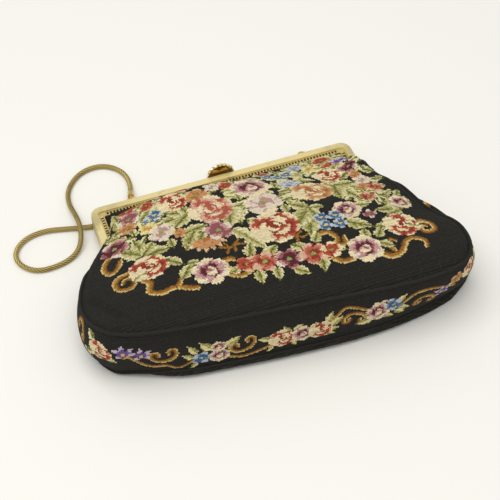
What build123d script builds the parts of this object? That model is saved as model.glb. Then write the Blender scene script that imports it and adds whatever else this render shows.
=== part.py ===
"""A petit point handbag with a hinged metal frame, lying on its back, in millimetres.

X runs along the frame, Y from the bottom of the bag to the frame, Z up from the table.
"""

from build123d import *
from math import cos, pi, radians, sin, tan
import os

os.makedirs("parts", exist_ok=True)

# Bag body
BAG_WIDTH = 238.0
BAG_HEIGHT = 150.0
BAG_DEPTH = 49.0
CLOTH = 1.2
LINING = 0.6
SEAM_GAP = 0.2
SOFT_GAP = 0.3
PIPING_RADIUS = 1.3
MOUTH_SLACK = 1.2
REST_LENGTH = 122.0

# Hinged frame
FRAME_WIDTH = 180.0
FRAME_ARM = 46.0
FRAME_LIFT = 4.4
HALF_THICKNESS = 5.2
PARTING_GAP = 0.4
CORNER_RADIUS = 7.0
BAND_WIDTH = 4.6
FACE_SHEET = 1.0
RIM_SHEET = 1.2
EDGE_ROUND = 0.7
THUMB_SWELL_LENGTH = 14.0
THUMB_SWELL_WIDTH = 2.8
THUMB_SWELL_HEIGHT = 0.5

# Pierced sewing strips
STRIP_WIDTH = 3.4
STRIP_SHEET = 0.8
STRIP_TONGUE = 1.5
STRIP_RAIL = 0.7
SLOT_PITCH = 2.2
SLOT_WIDTH = 1.2

# Frame hinges
EAR_RADIUS = 4.4
EAR_SHEET = 1.2
EAR_GAP = 0.3
EAR_CLEARANCE = 0.8
EAR_ROOT = 8.0
PIN_RADIUS = 1.2
PIN_FIT = 0.1
PIN_HEAD_RADIUS = 2.2
PIN_HEAD = 0.9

# Clasp
DOME_RADIUS = 8.2
DOME_DEPTH = 4.6
DOME_SHEET = 0.8
DOME_STANDOFF = 1.4
DOME_CENTRE_DROP = 1.4
STONE_RADIUS = 1.05
STONE_PROUD = 0.9
STONE_SEAT = 0.4
STONE_SIDES = 6
STONE_TAPER = 20
CLAW_SHEET = 0.8
CLAW_INSET = 0.3
CLAW_LOW = 0.5
CLAW_HEIGHT = 2.8
CLAW_NOTCH = 2.2
CLASP_PIN_RADIUS = 0.7
CLASP_PIN_REACH = 5.2
CLASP_PIN_DROP = 0.4
KNUCKLE_RADIUS = 1.5
KNUCKLE_WIDTH = 4.0
BRACKET_SHEET = 1.0
BRACKET_EAR_RADIUS = 1.6

# Chain and its fittings
CHAIN_RADIUS = 1.7
LUG_SPACING = 120.0
LUG_SHEET = 1.2
LUG_RADIUS = 1.9
LUG_HOLE_RADIUS = 1.0
RING_RADIUS = 3.0
RING_WIRE_RADIUS = 0.5
EYE_RADIUS = 1.3
EYE_WIRE_RADIUS = 0.4
CAP_RADIUS = 2.1
CAP_LENGTH = 6.0

# Cuts run this far past what they cut
OVERRUN = 12.0

# Shares of the half width and of the height, down the left side, along the bottom and up the right
LEFT_SIDE_SHARES = [(-0.773, 0.24), (-0.866, 0.34), (-0.95, 0.46), (-1.0, 0.613), (-0.992, 0.76), (-0.866, 0.857)]
BOTTOM_SHARES = [(0.0, 0.94), (0.824, 1.0)]
RIGHT_SIDE_SHARES = [(0.983, 0.893), (1.0, 0.753), (0.908, 0.533), (0.824, 0.347), (0.756, 0.233)]
NECK_SHARES = (0.167, 0.16)
BEND_SHARE = 0.45

# Rows evenly spaced down the front: half width, seam height and crown height, as shares
FRONT_ROW_SHARES = [
    (0.687, 0.01, 0.015),
    (0.693, 0.063, 0.25),
    (0.747, 0.14, 0.485),
    (0.848, 0.205, 0.67),
    (0.913, 0.31, 0.8),
    (0.953, 0.436, 0.888),
    (0.979, 0.57, 0.949),
    (0.996, 0.697, 0.983),
    (1.0, 0.787, 1.0),
    (1.0, 0.834, 0.987),
    (1.0, 0.84, 0.947),
    (1.0, 0.82, 0.88),
]
FRONT_REACH_SHARE = 1.1
ROW_PARTS = 3
COLUMN_SHARES = [-1.12, -1.0, -0.85, -0.65, -0.35, 0.0, 0.35, 0.65, 0.85, 1.0, 1.12]
CROWN_POWER = 2.6

# The front puffs up beside the frame, left of the clasp: shares of the rise for each row and column
PUFF_ROW_SHARES = [0.0, 0.34, 0.19, 0.09, 0.02, 0.0, 0.0, 0.0, 0.0, 0.0, 0.0, 0.0]
PUFF_COLUMN_SHARES = [0.0, 0.0, 0.7, 1.0, 1.0, 0.6, 0.12, 0.0, 0.0, 0.0, 0.0]

# Rows of stones on the dome: distance from its axis as a share, count and the angle that they span
STONE_ROW_SHARES = [(0.84, 13, 300), (0.47, 7, 308), (0.0, 1, 0)]

# The chain's free route, from the left cap, round its two loops and under the frame to the right cap
CHAIN_ROUTE = [
    (-55.5, 104.0, 1.7),
    (-59.5, 113.5, 1.7),
    (-69.0, 120.5, 1.7),
    (-81.5, 120.0, 1.7),
    (-91.5, 113.0, 1.7),
    (-97.5, 103.0, 1.7),
    (-98.8, 92.5, 2.6),
    (-98.6, 82.0, 6.8),
    (-97.9, 74.5, 8.6),
    (-97.9, 66.5, 8.6),
    (-99.6, 58.0, 6.0),
    (-104.0, 51.5, 2.6),
    (-112.0, 46.8, 1.7),
    (-122.5, 44.8, 1.7),
    (-132.5, 45.6, 1.7),
    (-140.0, 52.0, 1.7),
    (-143.0, 61.0, 1.7),
    (-139.0, 69.8, 1.7),
    (-130.0, 75.5, 1.7),
    (-118.0, 76.5, 1.7),
    (-105.5, 73.3, 1.7),
    (-93.0, 70.0, 1.7),
    (-77.0, 67.8, 1.7),
    (-50.0, 67.0, 1.7),
    (-15.0, 68.0, 1.7),
    (12.0, 70.0, 1.7),
    (30.0, 73.2, 1.7),
]

# Heights of the two frame halves and of the cloth edges that they hold
HALF_WIDTH = BAG_WIDTH / 2
BACK_FACE_TOP = FRAME_LIFT + FACE_SHEET
BACK_RIM_TOP = FRAME_LIFT + HALF_THICKNESS
HINGE_Z = BACK_RIM_TOP + PARTING_GAP / 2
FRONT_RIM_LOW = BACK_RIM_TOP + PARTING_GAP
FRONT_FACE_TOP = FRONT_RIM_LOW + HALF_THICKNESS
FRONT_FACE_LOW = FRONT_FACE_TOP - FACE_SHEET
FRAME_HALF = FRAME_WIDTH / 2
STRIP_REACH = BAND_WIDTH + STRIP_WIDTH
NECK_HALF = FRAME_HALF - STRIP_REACH - SOFT_GAP
NECK_TOP = -STRIP_REACH - SOFT_GAP
MOUTH_FRONT = FRONT_FACE_TOP - MOUTH_SLACK
MOUTH_BACK = FRAME_LIFT + MOUTH_SLACK
HINGE_Y = -FRAME_ARM
ARM_END = HINGE_Y + EAR_RADIUS + EAR_CLEARANCE
NECK_END = HINGE_Y - EAR_RADIUS - EAR_CLEARANCE
DOME_OUT = DOME_STANDOFF + DOME_DEPTH + STONE_PROUD
PIPING_OFF = SOFT_GAP + PIPING_RADIUS


def bend_radii(points):
    """The radius of each inner corner, as large as its two runs allow."""
    found = []
    for before, here, after in zip(points, points[1:], points[2:]):
        into = Vector(here) - Vector(before)
        out = Vector(after) - Vector(here)
        shorter = min(into.length, out.length)
        found.append(BEND_SHARE * shorter / tan(radians(into.get_angle(out)) / 2))
    return found


def sewn_edge():
    """The points of the seam from the left flare round the bottom to the right flare."""
    shares = LEFT_SIDE_SHARES + BOTTOM_SHARES + RIGHT_SIDE_SHARES
    return [(across * HALF_WIDTH, -down * BAG_HEIGHT) for across, down in shares]


def pushed_out(points, distance):
    """The inner points of an open line, moved to the right of its direction by a distance."""
    moved = []
    for before, here, after in zip(points, points[1:], points[2:]):
        into = (Vector(here) - Vector(before)).normalized()
        out = (Vector(after) - Vector(here)).normalized()
        normal = Vector(into.Y + out.Y, -into.X - out.X).normalized()
        stretch = distance / normal.dot(Vector(out.Y, -out.X))
        moved.append(Vector(here) + normal * stretch)
    return moved


LEFT_NECK, RIGHT_NECK = NECK_SHARES
OUTLINE = [(-NECK_HALF, NECK_TOP), (-NECK_HALF, -LEFT_NECK * BAG_HEIGHT)]
OUTLINE += sewn_edge()
OUTLINE += [(NECK_HALF, -RIGHT_NECK * BAG_HEIGHT), (NECK_HALF, NECK_TOP)]

with BuildLine() as seam_line:
    FilletPolyline(*OUTLINE, radius=bend_radii(OUTLINE))

LOWEST = seam_line.line.bounding_box().min.Y - PIPING_OFF - PIPING_RADIUS
Y_TOP = -(LOWEST + DOME_OUT) / 2


def level(height):
    """A flat plane at a height, with its origin under the middle of the frame's top edge."""
    return Plane(origin=(0, Y_TOP, height))


def upright(along):
    """An upright plane across the bag, along X and Z, at a distance above the frame's top edge."""
    return Plane(origin=(0, Y_TOP + along, 0), x_dir=(1, 0, 0), z_dir=(0, -1, 0))


def sideways(across):
    """An upright plane along Y and Z at a place along the frame."""
    return Plane(origin=(across, Y_TOP, 0), x_dir=(0, 1, 0), z_dir=(1, 0, 0))


def cloth_plan(inset, hinge_room):
    """The bag's plan, drawn in by an inset, with or without room for the frame's hinges."""
    with BuildSketch(level(-OVERRUN)) as plan:
        with BuildLine():
            FilletPolyline(*OUTLINE, radius=bend_radii(OUTLINE))
            Line(OUTLINE[-1], OUTLINE[0])
        make_face()
        if hinge_room:
            for side in (-1, 1):
                with Locations((side * (NECK_HALF + HALF_WIDTH / 2), NECK_END + HALF_WIDTH / 2)):
                    Rectangle(HALF_WIDTH, HALF_WIDTH, mode=Mode.SUBTRACT)
        if inset:
            offset(amount=-inset, kind=Kind.INTERSECTION, mode=Mode.REPLACE)
    return plan.sketch


# Everything under the crowned front of the bag
CROWN_RISE = BAG_DEPTH - MOUTH_FRONT
ROW_START = NECK_TOP + CLOTH
ROW_STEP = (ROW_START + FRONT_REACH_SHARE * BAG_HEIGHT) / (len(FRONT_ROW_SHARES) - 1)


def between_rows(values, place):
    """A value between two of the evenly spaced rows, on a smooth line through all of them."""
    low = min(int(place), len(values) - 2)
    before = values[max(low - 1, 0)]
    start, end = values[low : low + 2]
    after = values[min(low + 2, len(values) - 1)]
    part = place - low
    bend = (end - before) / 2 * (part - 2 * part**2 + part**3) + (after - start) / 2 * (part**3 - part**2)
    return start + (end - start) * (3 * part**2 - 2 * part**3) + bend


CROWN_POINTS = []
for fine_row in range((len(FRONT_ROW_SHARES) - 1) * ROW_PARTS + 1):
    place = fine_row / ROW_PARTS
    across, seam, crown = (between_rows(column, place) for column in zip(*FRONT_ROW_SHARES))
    seam_z = MOUTH_FRONT + seam * CROWN_RISE
    swell = (crown - seam) * CROWN_RISE
    puff = between_rows(PUFF_ROW_SHARES, place) * CROWN_RISE
    row_y = Y_TOP + ROW_START - place * ROW_STEP
    line = []
    for share, puffed in zip(COLUMN_SHARES, PUFF_COLUMN_SHARES):
        height = seam_z + swell * (1 - abs(share) ** CROWN_POWER) + puff * puffed
        line.append(Vector(share * across * HALF_WIDTH, row_y, height))
    CROWN_POINTS.append(line)
CROWN_FACE = Face.make_surface_from_array_of_points(CROWN_POINTS)

with BuildPart() as under_front:
    extrude(CROWN_FACE, amount=BAG_DEPTH + OVERRUN, dir=(0, 0, -1))

# Everything under the back of the bag, flat on the table and rising to the frame
REST_END = -BAG_HEIGHT + REST_LENGTH
BACK_PROFILE = [(-BAG_HEIGHT - OVERRUN, 0), (REST_END, 0), (NECK_TOP, MOUTH_BACK), (0, MOUTH_BACK)]
with BuildPart() as under_back:
    with BuildSketch(sideways(-BAG_WIDTH)):
        with BuildLine():
            FilletPolyline(*BACK_PROFILE, radius=bend_radii(BACK_PROFILE))
            Polyline(BACK_PROFILE[-1], (0, -2 * OVERRUN), (-BAG_HEIGHT - OVERRUN, -2 * OVERRUN), BACK_PROFILE[0])
        make_face()
    extrude(amount=2 * BAG_WIDTH)

PLAN_HEIGHT = BAG_DEPTH + 2 * OVERRUN


def lowered(builder, distance):
    """A copy of a builder's solid, moved down by a distance."""
    return builder.part.moved(Location((0, 0, -distance)))


with BuildPart() as front_panel:
    extrude(cloth_plan(0, False), amount=PLAN_HEIGHT)
    add(under_front.part, mode=Mode.INTERSECT)
    add(lowered(under_front, CLOTH), mode=Mode.SUBTRACT)
front_panel.part.label = "front_panel"
export_step(front_panel.part, "parts/front_panel.step")

with BuildPart() as back_panel:
    extrude(cloth_plan(0, True), amount=PLAN_HEIGHT)
    add(lowered(under_back, -CLOTH), mode=Mode.INTERSECT)
    add(under_back.part, mode=Mode.SUBTRACT)
back_panel.part.label = "back_panel"
export_step(back_panel.part, "parts/back_panel.step")

with BuildPart() as gusset_band:
    extrude(cloth_plan(0, True), amount=PLAN_HEIGHT)
    extrude(cloth_plan(CLOTH, True), amount=PLAN_HEIGHT, mode=Mode.SUBTRACT)
    add(lowered(under_front, CLOTH + SEAM_GAP), mode=Mode.INTERSECT)
    add(lowered(under_back, -CLOTH - SEAM_GAP), mode=Mode.SUBTRACT)
    with BuildSketch(level(-OVERRUN)):
        with Locations((0, HINGE_Y + FRAME_ARM)):
            Rectangle(BAG_WIDTH, 2 * FRAME_ARM)
    extrude(amount=PLAN_HEIGHT, mode=Mode.SUBTRACT)
gusset_band.part.label = "gusset_band"
export_step(gusset_band.part, "parts/gusset_band.step")

# The lining is a bag inside the bag, open at the mouth and between the frame's arms
LINING_OUT = CLOTH + SEAM_GAP
LINING_IN = LINING_OUT + LINING
with BuildPart() as lining_room:
    extrude(cloth_plan(LINING_IN, True), amount=PLAN_HEIGHT)
    add(lowered(under_front, LINING_IN), mode=Mode.INTERSECT)
    add(lowered(under_back, -LINING_IN), mode=Mode.SUBTRACT)

with BuildPart() as lining:
    extrude(cloth_plan(LINING_OUT, True), amount=PLAN_HEIGHT)
    add(lowered(under_front, LINING_OUT), mode=Mode.INTERSECT)
    add(lowered(under_back, -LINING_OUT), mode=Mode.SUBTRACT)
    add(lining_room.part, mode=Mode.SUBTRACT)
    with BuildSketch(level(-OVERRUN)):
        with Locations((0, NECK_TOP - LINING_IN + FRAME_ARM)):
            Rectangle(BAG_WIDTH, 2 * FRAME_ARM)
        for side in (-1, 1):
            with Locations((side * (NECK_HALF - LINING_IN + HALF_WIDTH / 2), HINGE_Y + HALF_WIDTH / 2)):
                Rectangle(HALF_WIDTH, HALF_WIDTH)
    extrude(amount=PLAN_HEIGHT, mode=Mode.SUBTRACT)
lining.part.label = "lining"
export_step(lining.part, "parts/lining.step")


def front_height(place):
    """The height of the crowned front over a place in the bag's plan."""
    foot = Vector(place.X, Y_TOP + place.Y, -OVERRUN)
    probe = Edge.make_line(foot, foot + Vector(0, 0, PLAN_HEIGHT))
    return max(vertex.Z for edge in (under_front.part & probe).edges() for vertex in edge.vertices())


# Piping runs round both seams, just outside the gusset
PIPING_PLAN = pushed_out(OUTLINE[2:-2], PIPING_OFF)
SEAM_PLAN = pushed_out(OUTLINE[2:-2], -CLOTH)
FRONT_PIPING = [
    (place.X, Y_TOP + place.Y, front_height(inner) - CLOTH) for place, inner in zip(PIPING_PLAN, SEAM_PLAN)
]
BACK_PIPING = [(place.X, Y_TOP + place.Y, CLOTH / 2 + PIPING_RADIUS) for place in PIPING_PLAN]

with BuildPart() as front_piping:
    with BuildLine() as front_welt:
        FilletPolyline(*FRONT_PIPING, radius=bend_radii(FRONT_PIPING))
    with BuildSketch(Plane(origin=front_welt.line @ 0, z_dir=front_welt.line % 0)):
        Circle(PIPING_RADIUS)
    sweep()
front_piping.part.label = "front_piping"
export_step(front_piping.part, "parts/front_piping.step")

with BuildPart() as back_piping:
    with BuildLine() as back_welt:
        FilletPolyline(*BACK_PIPING, radius=bend_radii(BACK_PIPING))
    with BuildSketch(Plane(origin=back_welt.line @ 0, z_dir=back_welt.line % 0)):
        Circle(PIPING_RADIUS)
    sweep()
back_piping.part.label = "back_piping"
export_step(back_piping.part, "parts/back_piping.step")


def frame_bow(height, near, far, end):
    """A flat bow on a level plane, between two distances inside the frame's outer edge."""
    with BuildSketch(level(height)) as bow:
        for inset, mode in ((near, Mode.ADD), (far, Mode.SUBTRACT)):
            edge = FRAME_HALF - inset
            corner = max(CORNER_RADIUS - inset, PIN_RADIUS)
            foot = end if mode == Mode.ADD else end - OVERRUN
            path = [(-edge, foot), (-edge, -inset), (edge, -inset), (edge, foot)]
            with BuildLine():
                FilletPolyline(*path, radius=corner)
                Line(path[-1], path[0])
            make_face(mode=mode)
    return bow.sketch


def ear_plan(across, root, low, high):
    """A round hinge ear with its root, on an upright plane at a place along the frame."""
    with BuildSketch(sideways(across)) as ear:
        with Locations((HINGE_Y, HINGE_Z)):
            Circle(EAR_RADIUS)
        with Locations((HINGE_Y + root / 2, (low + high) / 2)):
            Rectangle(root, high - low)
        with Locations((HINGE_Y, HINGE_Z)):
            Circle(PIN_RADIUS + PIN_FIT, mode=Mode.SUBTRACT)
    return ear.sketch


ARM_ROOT = ARM_END - HINGE_Y + EAR_ROOT

# Front half: a face with a rim on its outer edge, a thumb swell at the clasp and outer hinge ears
with BuildPart() as front_frame:
    extrude(frame_bow(FRONT_RIM_LOW, 0, RIM_SHEET, ARM_END), amount=HALF_THICKNESS)
    extrude(frame_bow(FRONT_FACE_LOW, 0, BAND_WIDTH, ARM_END), amount=FACE_SHEET)
    outer_edges = front_frame.edges().group_by(Axis.Z)[-1].filter_by(
        lambda edge: abs(edge.center().X) > FRAME_HALF - RIM_SHEET or edge.center().Y > Y_TOP - RIM_SHEET
    )
    fillet(outer_edges, EDGE_ROUND)
    with BuildSketch(level(FRONT_FACE_TOP)):
        with Locations((0, -BAND_WIDTH / 2)):
            Ellipse(THUMB_SWELL_LENGTH / 2, THUMB_SWELL_WIDTH / 2)
    extrude(amount=THUMB_SWELL_HEIGHT, taper=45)
    extrude(ear_plan(FRAME_HALF - EAR_SHEET, ARM_ROOT, FRONT_RIM_LOW, FRONT_FACE_LOW), amount=EAR_SHEET)
    extrude(ear_plan(EAR_SHEET - FRAME_HALF, ARM_ROOT, FRONT_RIM_LOW, FRONT_FACE_LOW), amount=-EAR_SHEET)
front_frame.part.label = "front_frame"
export_step(front_frame.part, "parts/front_frame.step")

# Back half: the same section turned over, with its ears inside the front half's
INNER_EAR = FRAME_HALF - EAR_SHEET - EAR_GAP
with BuildPart() as back_frame:
    extrude(frame_bow(FRAME_LIFT, 0, RIM_SHEET, ARM_END), amount=HALF_THICKNESS)
    extrude(frame_bow(FRAME_LIFT, 0, BAND_WIDTH, ARM_END), amount=FACE_SHEET)
    outer_edges = back_frame.edges().group_by(Axis.Z)[0].filter_by(
        lambda edge: abs(edge.center().X) > FRAME_HALF - RIM_SHEET or edge.center().Y > Y_TOP - RIM_SHEET
    )
    fillet(outer_edges, EDGE_ROUND)
    extrude(ear_plan(INNER_EAR, ARM_ROOT, FRAME_LIFT, BACK_RIM_TOP), amount=-EAR_SHEET)
    extrude(ear_plan(-INNER_EAR, ARM_ROOT, FRAME_LIFT, BACK_RIM_TOP), amount=EAR_SHEET)
back_frame.part.label = "back_frame"
export_step(back_frame.part, "parts/back_frame.step")

# A pierced strip lies inside each half's face, and the cloth is sewn on through its slots
SLOT_LENGTH = STRIP_WIDTH - 2 * STRIP_RAIL
SLOT_MIDDLE = BAND_WIDTH + STRIP_WIDTH / 2
TOP_ROW = FRAME_WIDTH - 2 * (STRIP_REACH + STRIP_RAIL)
ARM_ROW = -ARM_END - STRIP_REACH - STRIP_RAIL
TOP_COUNT = int(TOP_ROW / SLOT_PITCH)
ARM_COUNT = int(ARM_ROW / SLOT_PITCH)
ARM_MIDDLE = -STRIP_REACH - STRIP_RAIL - ARM_COUNT * SLOT_PITCH / 2


def slot_plan(height):
    """The slots of one sewing strip: a row along the top and one down each arm."""
    with BuildSketch(level(height)) as slots:
        with Locations((0, -SLOT_MIDDLE)):
            with GridLocations(SLOT_PITCH, 0, TOP_COUNT, 1):
                Rectangle(SLOT_WIDTH, SLOT_LENGTH)
        for side in (-1, 1):
            with Locations((side * (FRAME_HALF - SLOT_MIDDLE), ARM_MIDDLE)):
                with GridLocations(0, SLOT_PITCH, 1, ARM_COUNT):
                    Rectangle(SLOT_LENGTH, SLOT_WIDTH)
    return slots.sketch


for name, foot in (("front_sewing_strip", FRONT_FACE_LOW - STRIP_SHEET), ("back_sewing_strip", BACK_FACE_TOP)):
    with BuildPart() as sewing_strip:
        extrude(frame_bow(foot, BAND_WIDTH - STRIP_TONGUE, STRIP_REACH, ARM_END), amount=STRIP_SHEET)
        extrude(slot_plan(foot), amount=STRIP_SHEET, mode=Mode.SUBTRACT)
    sewing_strip.part.label = name
    export_step(sewing_strip.part, f"parts/{name}.step")

# A headed pin through each pair of hinge ears
PIN_LENGTH = FRAME_HALF + PIN_FIT - INNER_EAR + 2 * EAR_SHEET
for name, side in (("left_hinge_pin", -1), ("right_hinge_pin", 1)):
    with BuildPart() as hinge_pin:
        with BuildSketch(sideways(side * (FRAME_HALF + PIN_FIT))):
            with Locations((HINGE_Y, HINGE_Z)):
                Circle(PIN_RADIUS)
        extrude(amount=-side * PIN_LENGTH)
        with BuildSketch(sideways(side * (FRAME_HALF + PIN_FIT))):
            with Locations((HINGE_Y, HINGE_Z)):
                Circle(PIN_HEAD_RADIUS)
        extrude(amount=side * PIN_HEAD)
        head_edges = hinge_pin.edges().filter_by(GeomType.CIRCLE).sort_by(Axis.X)
        fillet(head_edges[-1] if side > 0 else head_edges[0], PIN_HEAD / 2)
    hinge_pin.part.label = name
    export_step(hinge_pin.part, f"parts/{name}.step")

# Clasp: a domed cap set with stones stands over the top edge, on a pin behind the frame
DOME_Z = FRONT_FACE_TOP - DOME_CENTRE_DROP
DOME_BALL = (DOME_RADIUS**2 + DOME_DEPTH**2) / (2 * DOME_DEPTH)
DOME_FACE = Plane(origin=(0, Y_TOP + DOME_STANDOFF, DOME_Z))
BALL_CENTRE = Vector(0, Y_TOP + DOME_STANDOFF + DOME_DEPTH - DOME_BALL, DOME_Z)
CLASP_PIN_Z = FRAME_LIFT - CLASP_PIN_DROP
PIN_HOLE = CLASP_PIN_RADIUS + PIN_FIT

with BuildPart() as clasp_stones:
    for reach, count, span in STONE_ROW_SHARES:
        distance = reach * DOME_RADIUS
        rise = (DOME_BALL**2 - distance**2) ** 0.5
        for index in range(count):
            angle = radians(90 - span / 2 + span * index / max(count - 1, 1))
            outward = Vector(distance * cos(angle), rise, distance * sin(angle))
            with BuildSketch(Plane(origin=BALL_CENTRE + outward, z_dir=outward).offset(-STONE_SEAT)):
                RegularPolygon(STONE_RADIUS, STONE_SIDES)
            extrude(amount=STONE_SEAT + STONE_PROUD, taper=STONE_TAPER)
clasp_stones.part.label = "clasp_stones"
export_step(clasp_stones.part, "parts/clasp_stones.step")

with BuildPart() as clasp_dome:
    with BuildSketch(DOME_FACE):
        with BuildLine():
            TangentArc((0, DOME_DEPTH), (DOME_RADIUS, 0), tangent=(1, 0))
            Line((DOME_RADIUS, 0), (DOME_RADIUS - DOME_SHEET, 0))
            TangentArc((0, DOME_DEPTH - DOME_SHEET), (DOME_RADIUS - DOME_SHEET, 0), tangent=(1, 0))
            Line((0, DOME_DEPTH - DOME_SHEET), (0, DOME_DEPTH))
        make_face()
    revolve(axis=Axis(DOME_FACE.origin, (0, 1, 0)))
    add(clasp_stones.part, mode=Mode.SUBTRACT)
    with BuildSketch(sideways(-KNUCKLE_WIDTH / 2)):
        with Locations((CLASP_PIN_REACH, CLASP_PIN_Z)):
            Circle(KNUCKLE_RADIUS)
        with BuildLine():
            Polyline(
                (DOME_STANDOFF, DOME_Z - DOME_RADIUS + DOME_SHEET),
                (DOME_STANDOFF, CLASP_PIN_Z + PIN_HOLE),
                (CLASP_PIN_REACH, CLASP_PIN_Z - KNUCKLE_RADIUS),
                (CLASP_PIN_REACH, CLASP_PIN_Z + KNUCKLE_RADIUS),
                (DOME_STANDOFF + DOME_SHEET, DOME_Z - DOME_RADIUS + DOME_SHEET),
                close=True,
            )
        make_face()
        with Locations((CLASP_PIN_REACH, CLASP_PIN_Z)):
            Circle(PIN_HOLE, mode=Mode.SUBTRACT)
    extrude(amount=KNUCKLE_WIDTH)
clasp_dome.part.label = "clasp_dome"
export_step(clasp_dome.part, "parts/clasp_dome.step")

# A notched claw plate fills the width of the dome's hollow, just over the front half's edge
CLAW_FOOT = FRONT_FACE_TOP + CLAW_LOW
CLAW_TOP = CLAW_FOOT + CLAW_HEIGHT
with BuildPart() as clasp_claw:
    with BuildSketch(upright(DOME_STANDOFF + CLAW_INSET)):
        with Locations((0, DOME_Z)):
            Circle(DOME_RADIUS - DOME_SHEET - CLAW_SHEET - CLAW_INSET)
        with BuildLine():
            Polyline(
                (-DOME_RADIUS, CLAW_FOOT),
                (DOME_RADIUS, CLAW_FOOT),
                (DOME_RADIUS, CLAW_TOP - CLAW_NOTCH / 2),
                (DOME_RADIUS / 2, CLAW_TOP),
                (CLAW_NOTCH / 2, CLAW_TOP - CLAW_NOTCH / 2),
                (0, CLAW_TOP - CLAW_NOTCH),
                (-CLAW_NOTCH / 2, CLAW_TOP - CLAW_NOTCH / 2),
                (-DOME_RADIUS / 2, CLAW_TOP),
                (-DOME_RADIUS, CLAW_TOP - CLAW_NOTCH / 2),
                close=True,
            )
        make_face(mode=Mode.INTERSECT)
    extrude(amount=-CLAW_SHEET)
clasp_claw.part.label = "clasp_claw"
export_step(clasp_claw.part, "parts/clasp_claw.step")

# A bracket on the back half's rim carries the clasp's pin
BRACKET_HALF = KNUCKLE_WIDTH / 2 + EAR_GAP + BRACKET_SHEET
with BuildPart() as clasp_bracket:
    with BuildSketch(upright(0)):
        with Locations((0, (FRAME_LIFT + BACK_RIM_TOP) / 2)):
            Rectangle(2 * BRACKET_HALF, HALF_THICKNESS)
    extrude(amount=-BRACKET_SHEET)
    for inner in (-BRACKET_HALF, BRACKET_HALF - BRACKET_SHEET):
        with BuildSketch(sideways(inner)):
            with Locations((CLASP_PIN_REACH / 2, CLASP_PIN_Z)):
                Rectangle(CLASP_PIN_REACH, 2 * BRACKET_EAR_RADIUS)
            with Locations((CLASP_PIN_REACH, CLASP_PIN_Z)):
                Circle(BRACKET_EAR_RADIUS)
                Circle(PIN_HOLE, mode=Mode.SUBTRACT)
        extrude(amount=BRACKET_SHEET)
clasp_bracket.part.label = "clasp_bracket"
export_step(clasp_bracket.part, "parts/clasp_bracket.step")

with BuildPart() as clasp_pin:
    with BuildSketch(sideways(-BRACKET_HALF - PIN_FIT)):
        with Locations((CLASP_PIN_REACH, CLASP_PIN_Z)):
            Circle(CLASP_PIN_RADIUS)
    extrude(amount=2 * (BRACKET_HALF + PIN_FIT))
clasp_pin.part.label = "clasp_pin"
export_step(clasp_pin.part, "parts/clasp_pin.step")

# Chain fittings: a lug on the back half, a flat ring through it and a cap whose eye holds the ring
LUG_Z = (FRAME_LIFT + BACK_RIM_TOP) / 2
CAP_REACH = EYE_RADIUS + CAP_LENGTH
LEFT_EYE = Vector(-LUG_SPACING / 2, Y_TOP + LUG_RADIUS + 2 * RING_RADIUS, LUG_Z)
RIGHT_EYE = Vector(LUG_SPACING / 2 - RING_RADIUS, Y_TOP + LUG_RADIUS + RING_RADIUS, LUG_Z)
LEFT_PULL = Vector(0.25, 0.9, -0.33).normalized()
RIGHT_PULL = Vector(-0.93, -0.12, -0.35).normalized()

for side, eye, pull in (("left", LEFT_EYE, LEFT_PULL), ("right", RIGHT_EYE, RIGHT_PULL)):
    lug_x = -LUG_SPACING / 2 if side == "left" else LUG_SPACING / 2
    with BuildPart() as chain_lug:
        with BuildSketch(sideways(lug_x - LUG_SHEET / 2)):
            with Locations((LUG_RADIUS, LUG_Z)):
                Circle(LUG_RADIUS)
            with Locations((LUG_RADIUS / 2, LUG_Z)):
                Rectangle(LUG_RADIUS, 2 * LUG_RADIUS)
            with Locations((LUG_RADIUS, LUG_Z)):
                Circle(LUG_HOLE_RADIUS, mode=Mode.SUBTRACT)
        extrude(amount=LUG_SHEET)
    chain_lug.part.label = f"{side}_chain_lug"
    export_step(chain_lug.part, f"parts/{side}_chain_lug.step")

    with BuildPart() as chain_ring:
        with Locations((lug_x, Y_TOP + LUG_RADIUS + RING_RADIUS, LUG_Z)):
            Torus(RING_RADIUS, RING_WIRE_RADIUS)
    chain_ring.part.label = f"{side}_chain_ring"
    export_step(chain_ring.part, f"parts/{side}_chain_ring.step")

    with BuildPart() as chain_cap:
        with Locations(Plane(origin=eye, z_dir=pull.cross(Vector(0, 0, 1)))):
            Torus(EYE_RADIUS, EYE_WIRE_RADIUS)
        with BuildSketch(Plane(origin=eye + pull * EYE_RADIUS, z_dir=pull)):
            Circle(CAP_RADIUS)
        extrude(amount=CAP_LENGTH)
    chain_cap.part.label = f"{side}_chain_cap"
    export_step(chain_cap.part, f"parts/{side}_chain_cap.step")

# The chain meets the flat end of each cap
LEFT_END = LEFT_EYE + LEFT_PULL * CAP_REACH
RIGHT_END = RIGHT_EYE + RIGHT_PULL * CAP_REACH
ROUTE = [LEFT_END, LEFT_END + LEFT_PULL * CAP_LENGTH]
ROUTE += [Vector(point) for point in CHAIN_ROUTE]
ROUTE += [RIGHT_END + RIGHT_PULL * CAP_LENGTH, RIGHT_END]
print("chain radii", [round(radius, 1) for radius in bend_radii(ROUTE)])

with BuildPart() as chain:
    with BuildLine() as chain_line:
        FilletPolyline(*ROUTE, radius=bend_radii(ROUTE))
    with BuildSketch(Plane(origin=chain_line.line @ 0, z_dir=chain_line.line % 0)):
        Circle(CHAIN_RADIUS)
    sweep()
CHAIN_LENGTH = sum(edge.length for edge in chain_line.edges())
print("chain length", round(CHAIN_LENGTH, 1), "ends", LEFT_END, RIGHT_END, "top of the frame", Y_TOP)
print("chain volume over section times length", chain.part.volume / (CHAIN_LENGTH * pi * CHAIN_RADIUS**2))
chain.part.label = "chain"
export_step(chain.part, "parts/chain.step")
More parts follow.
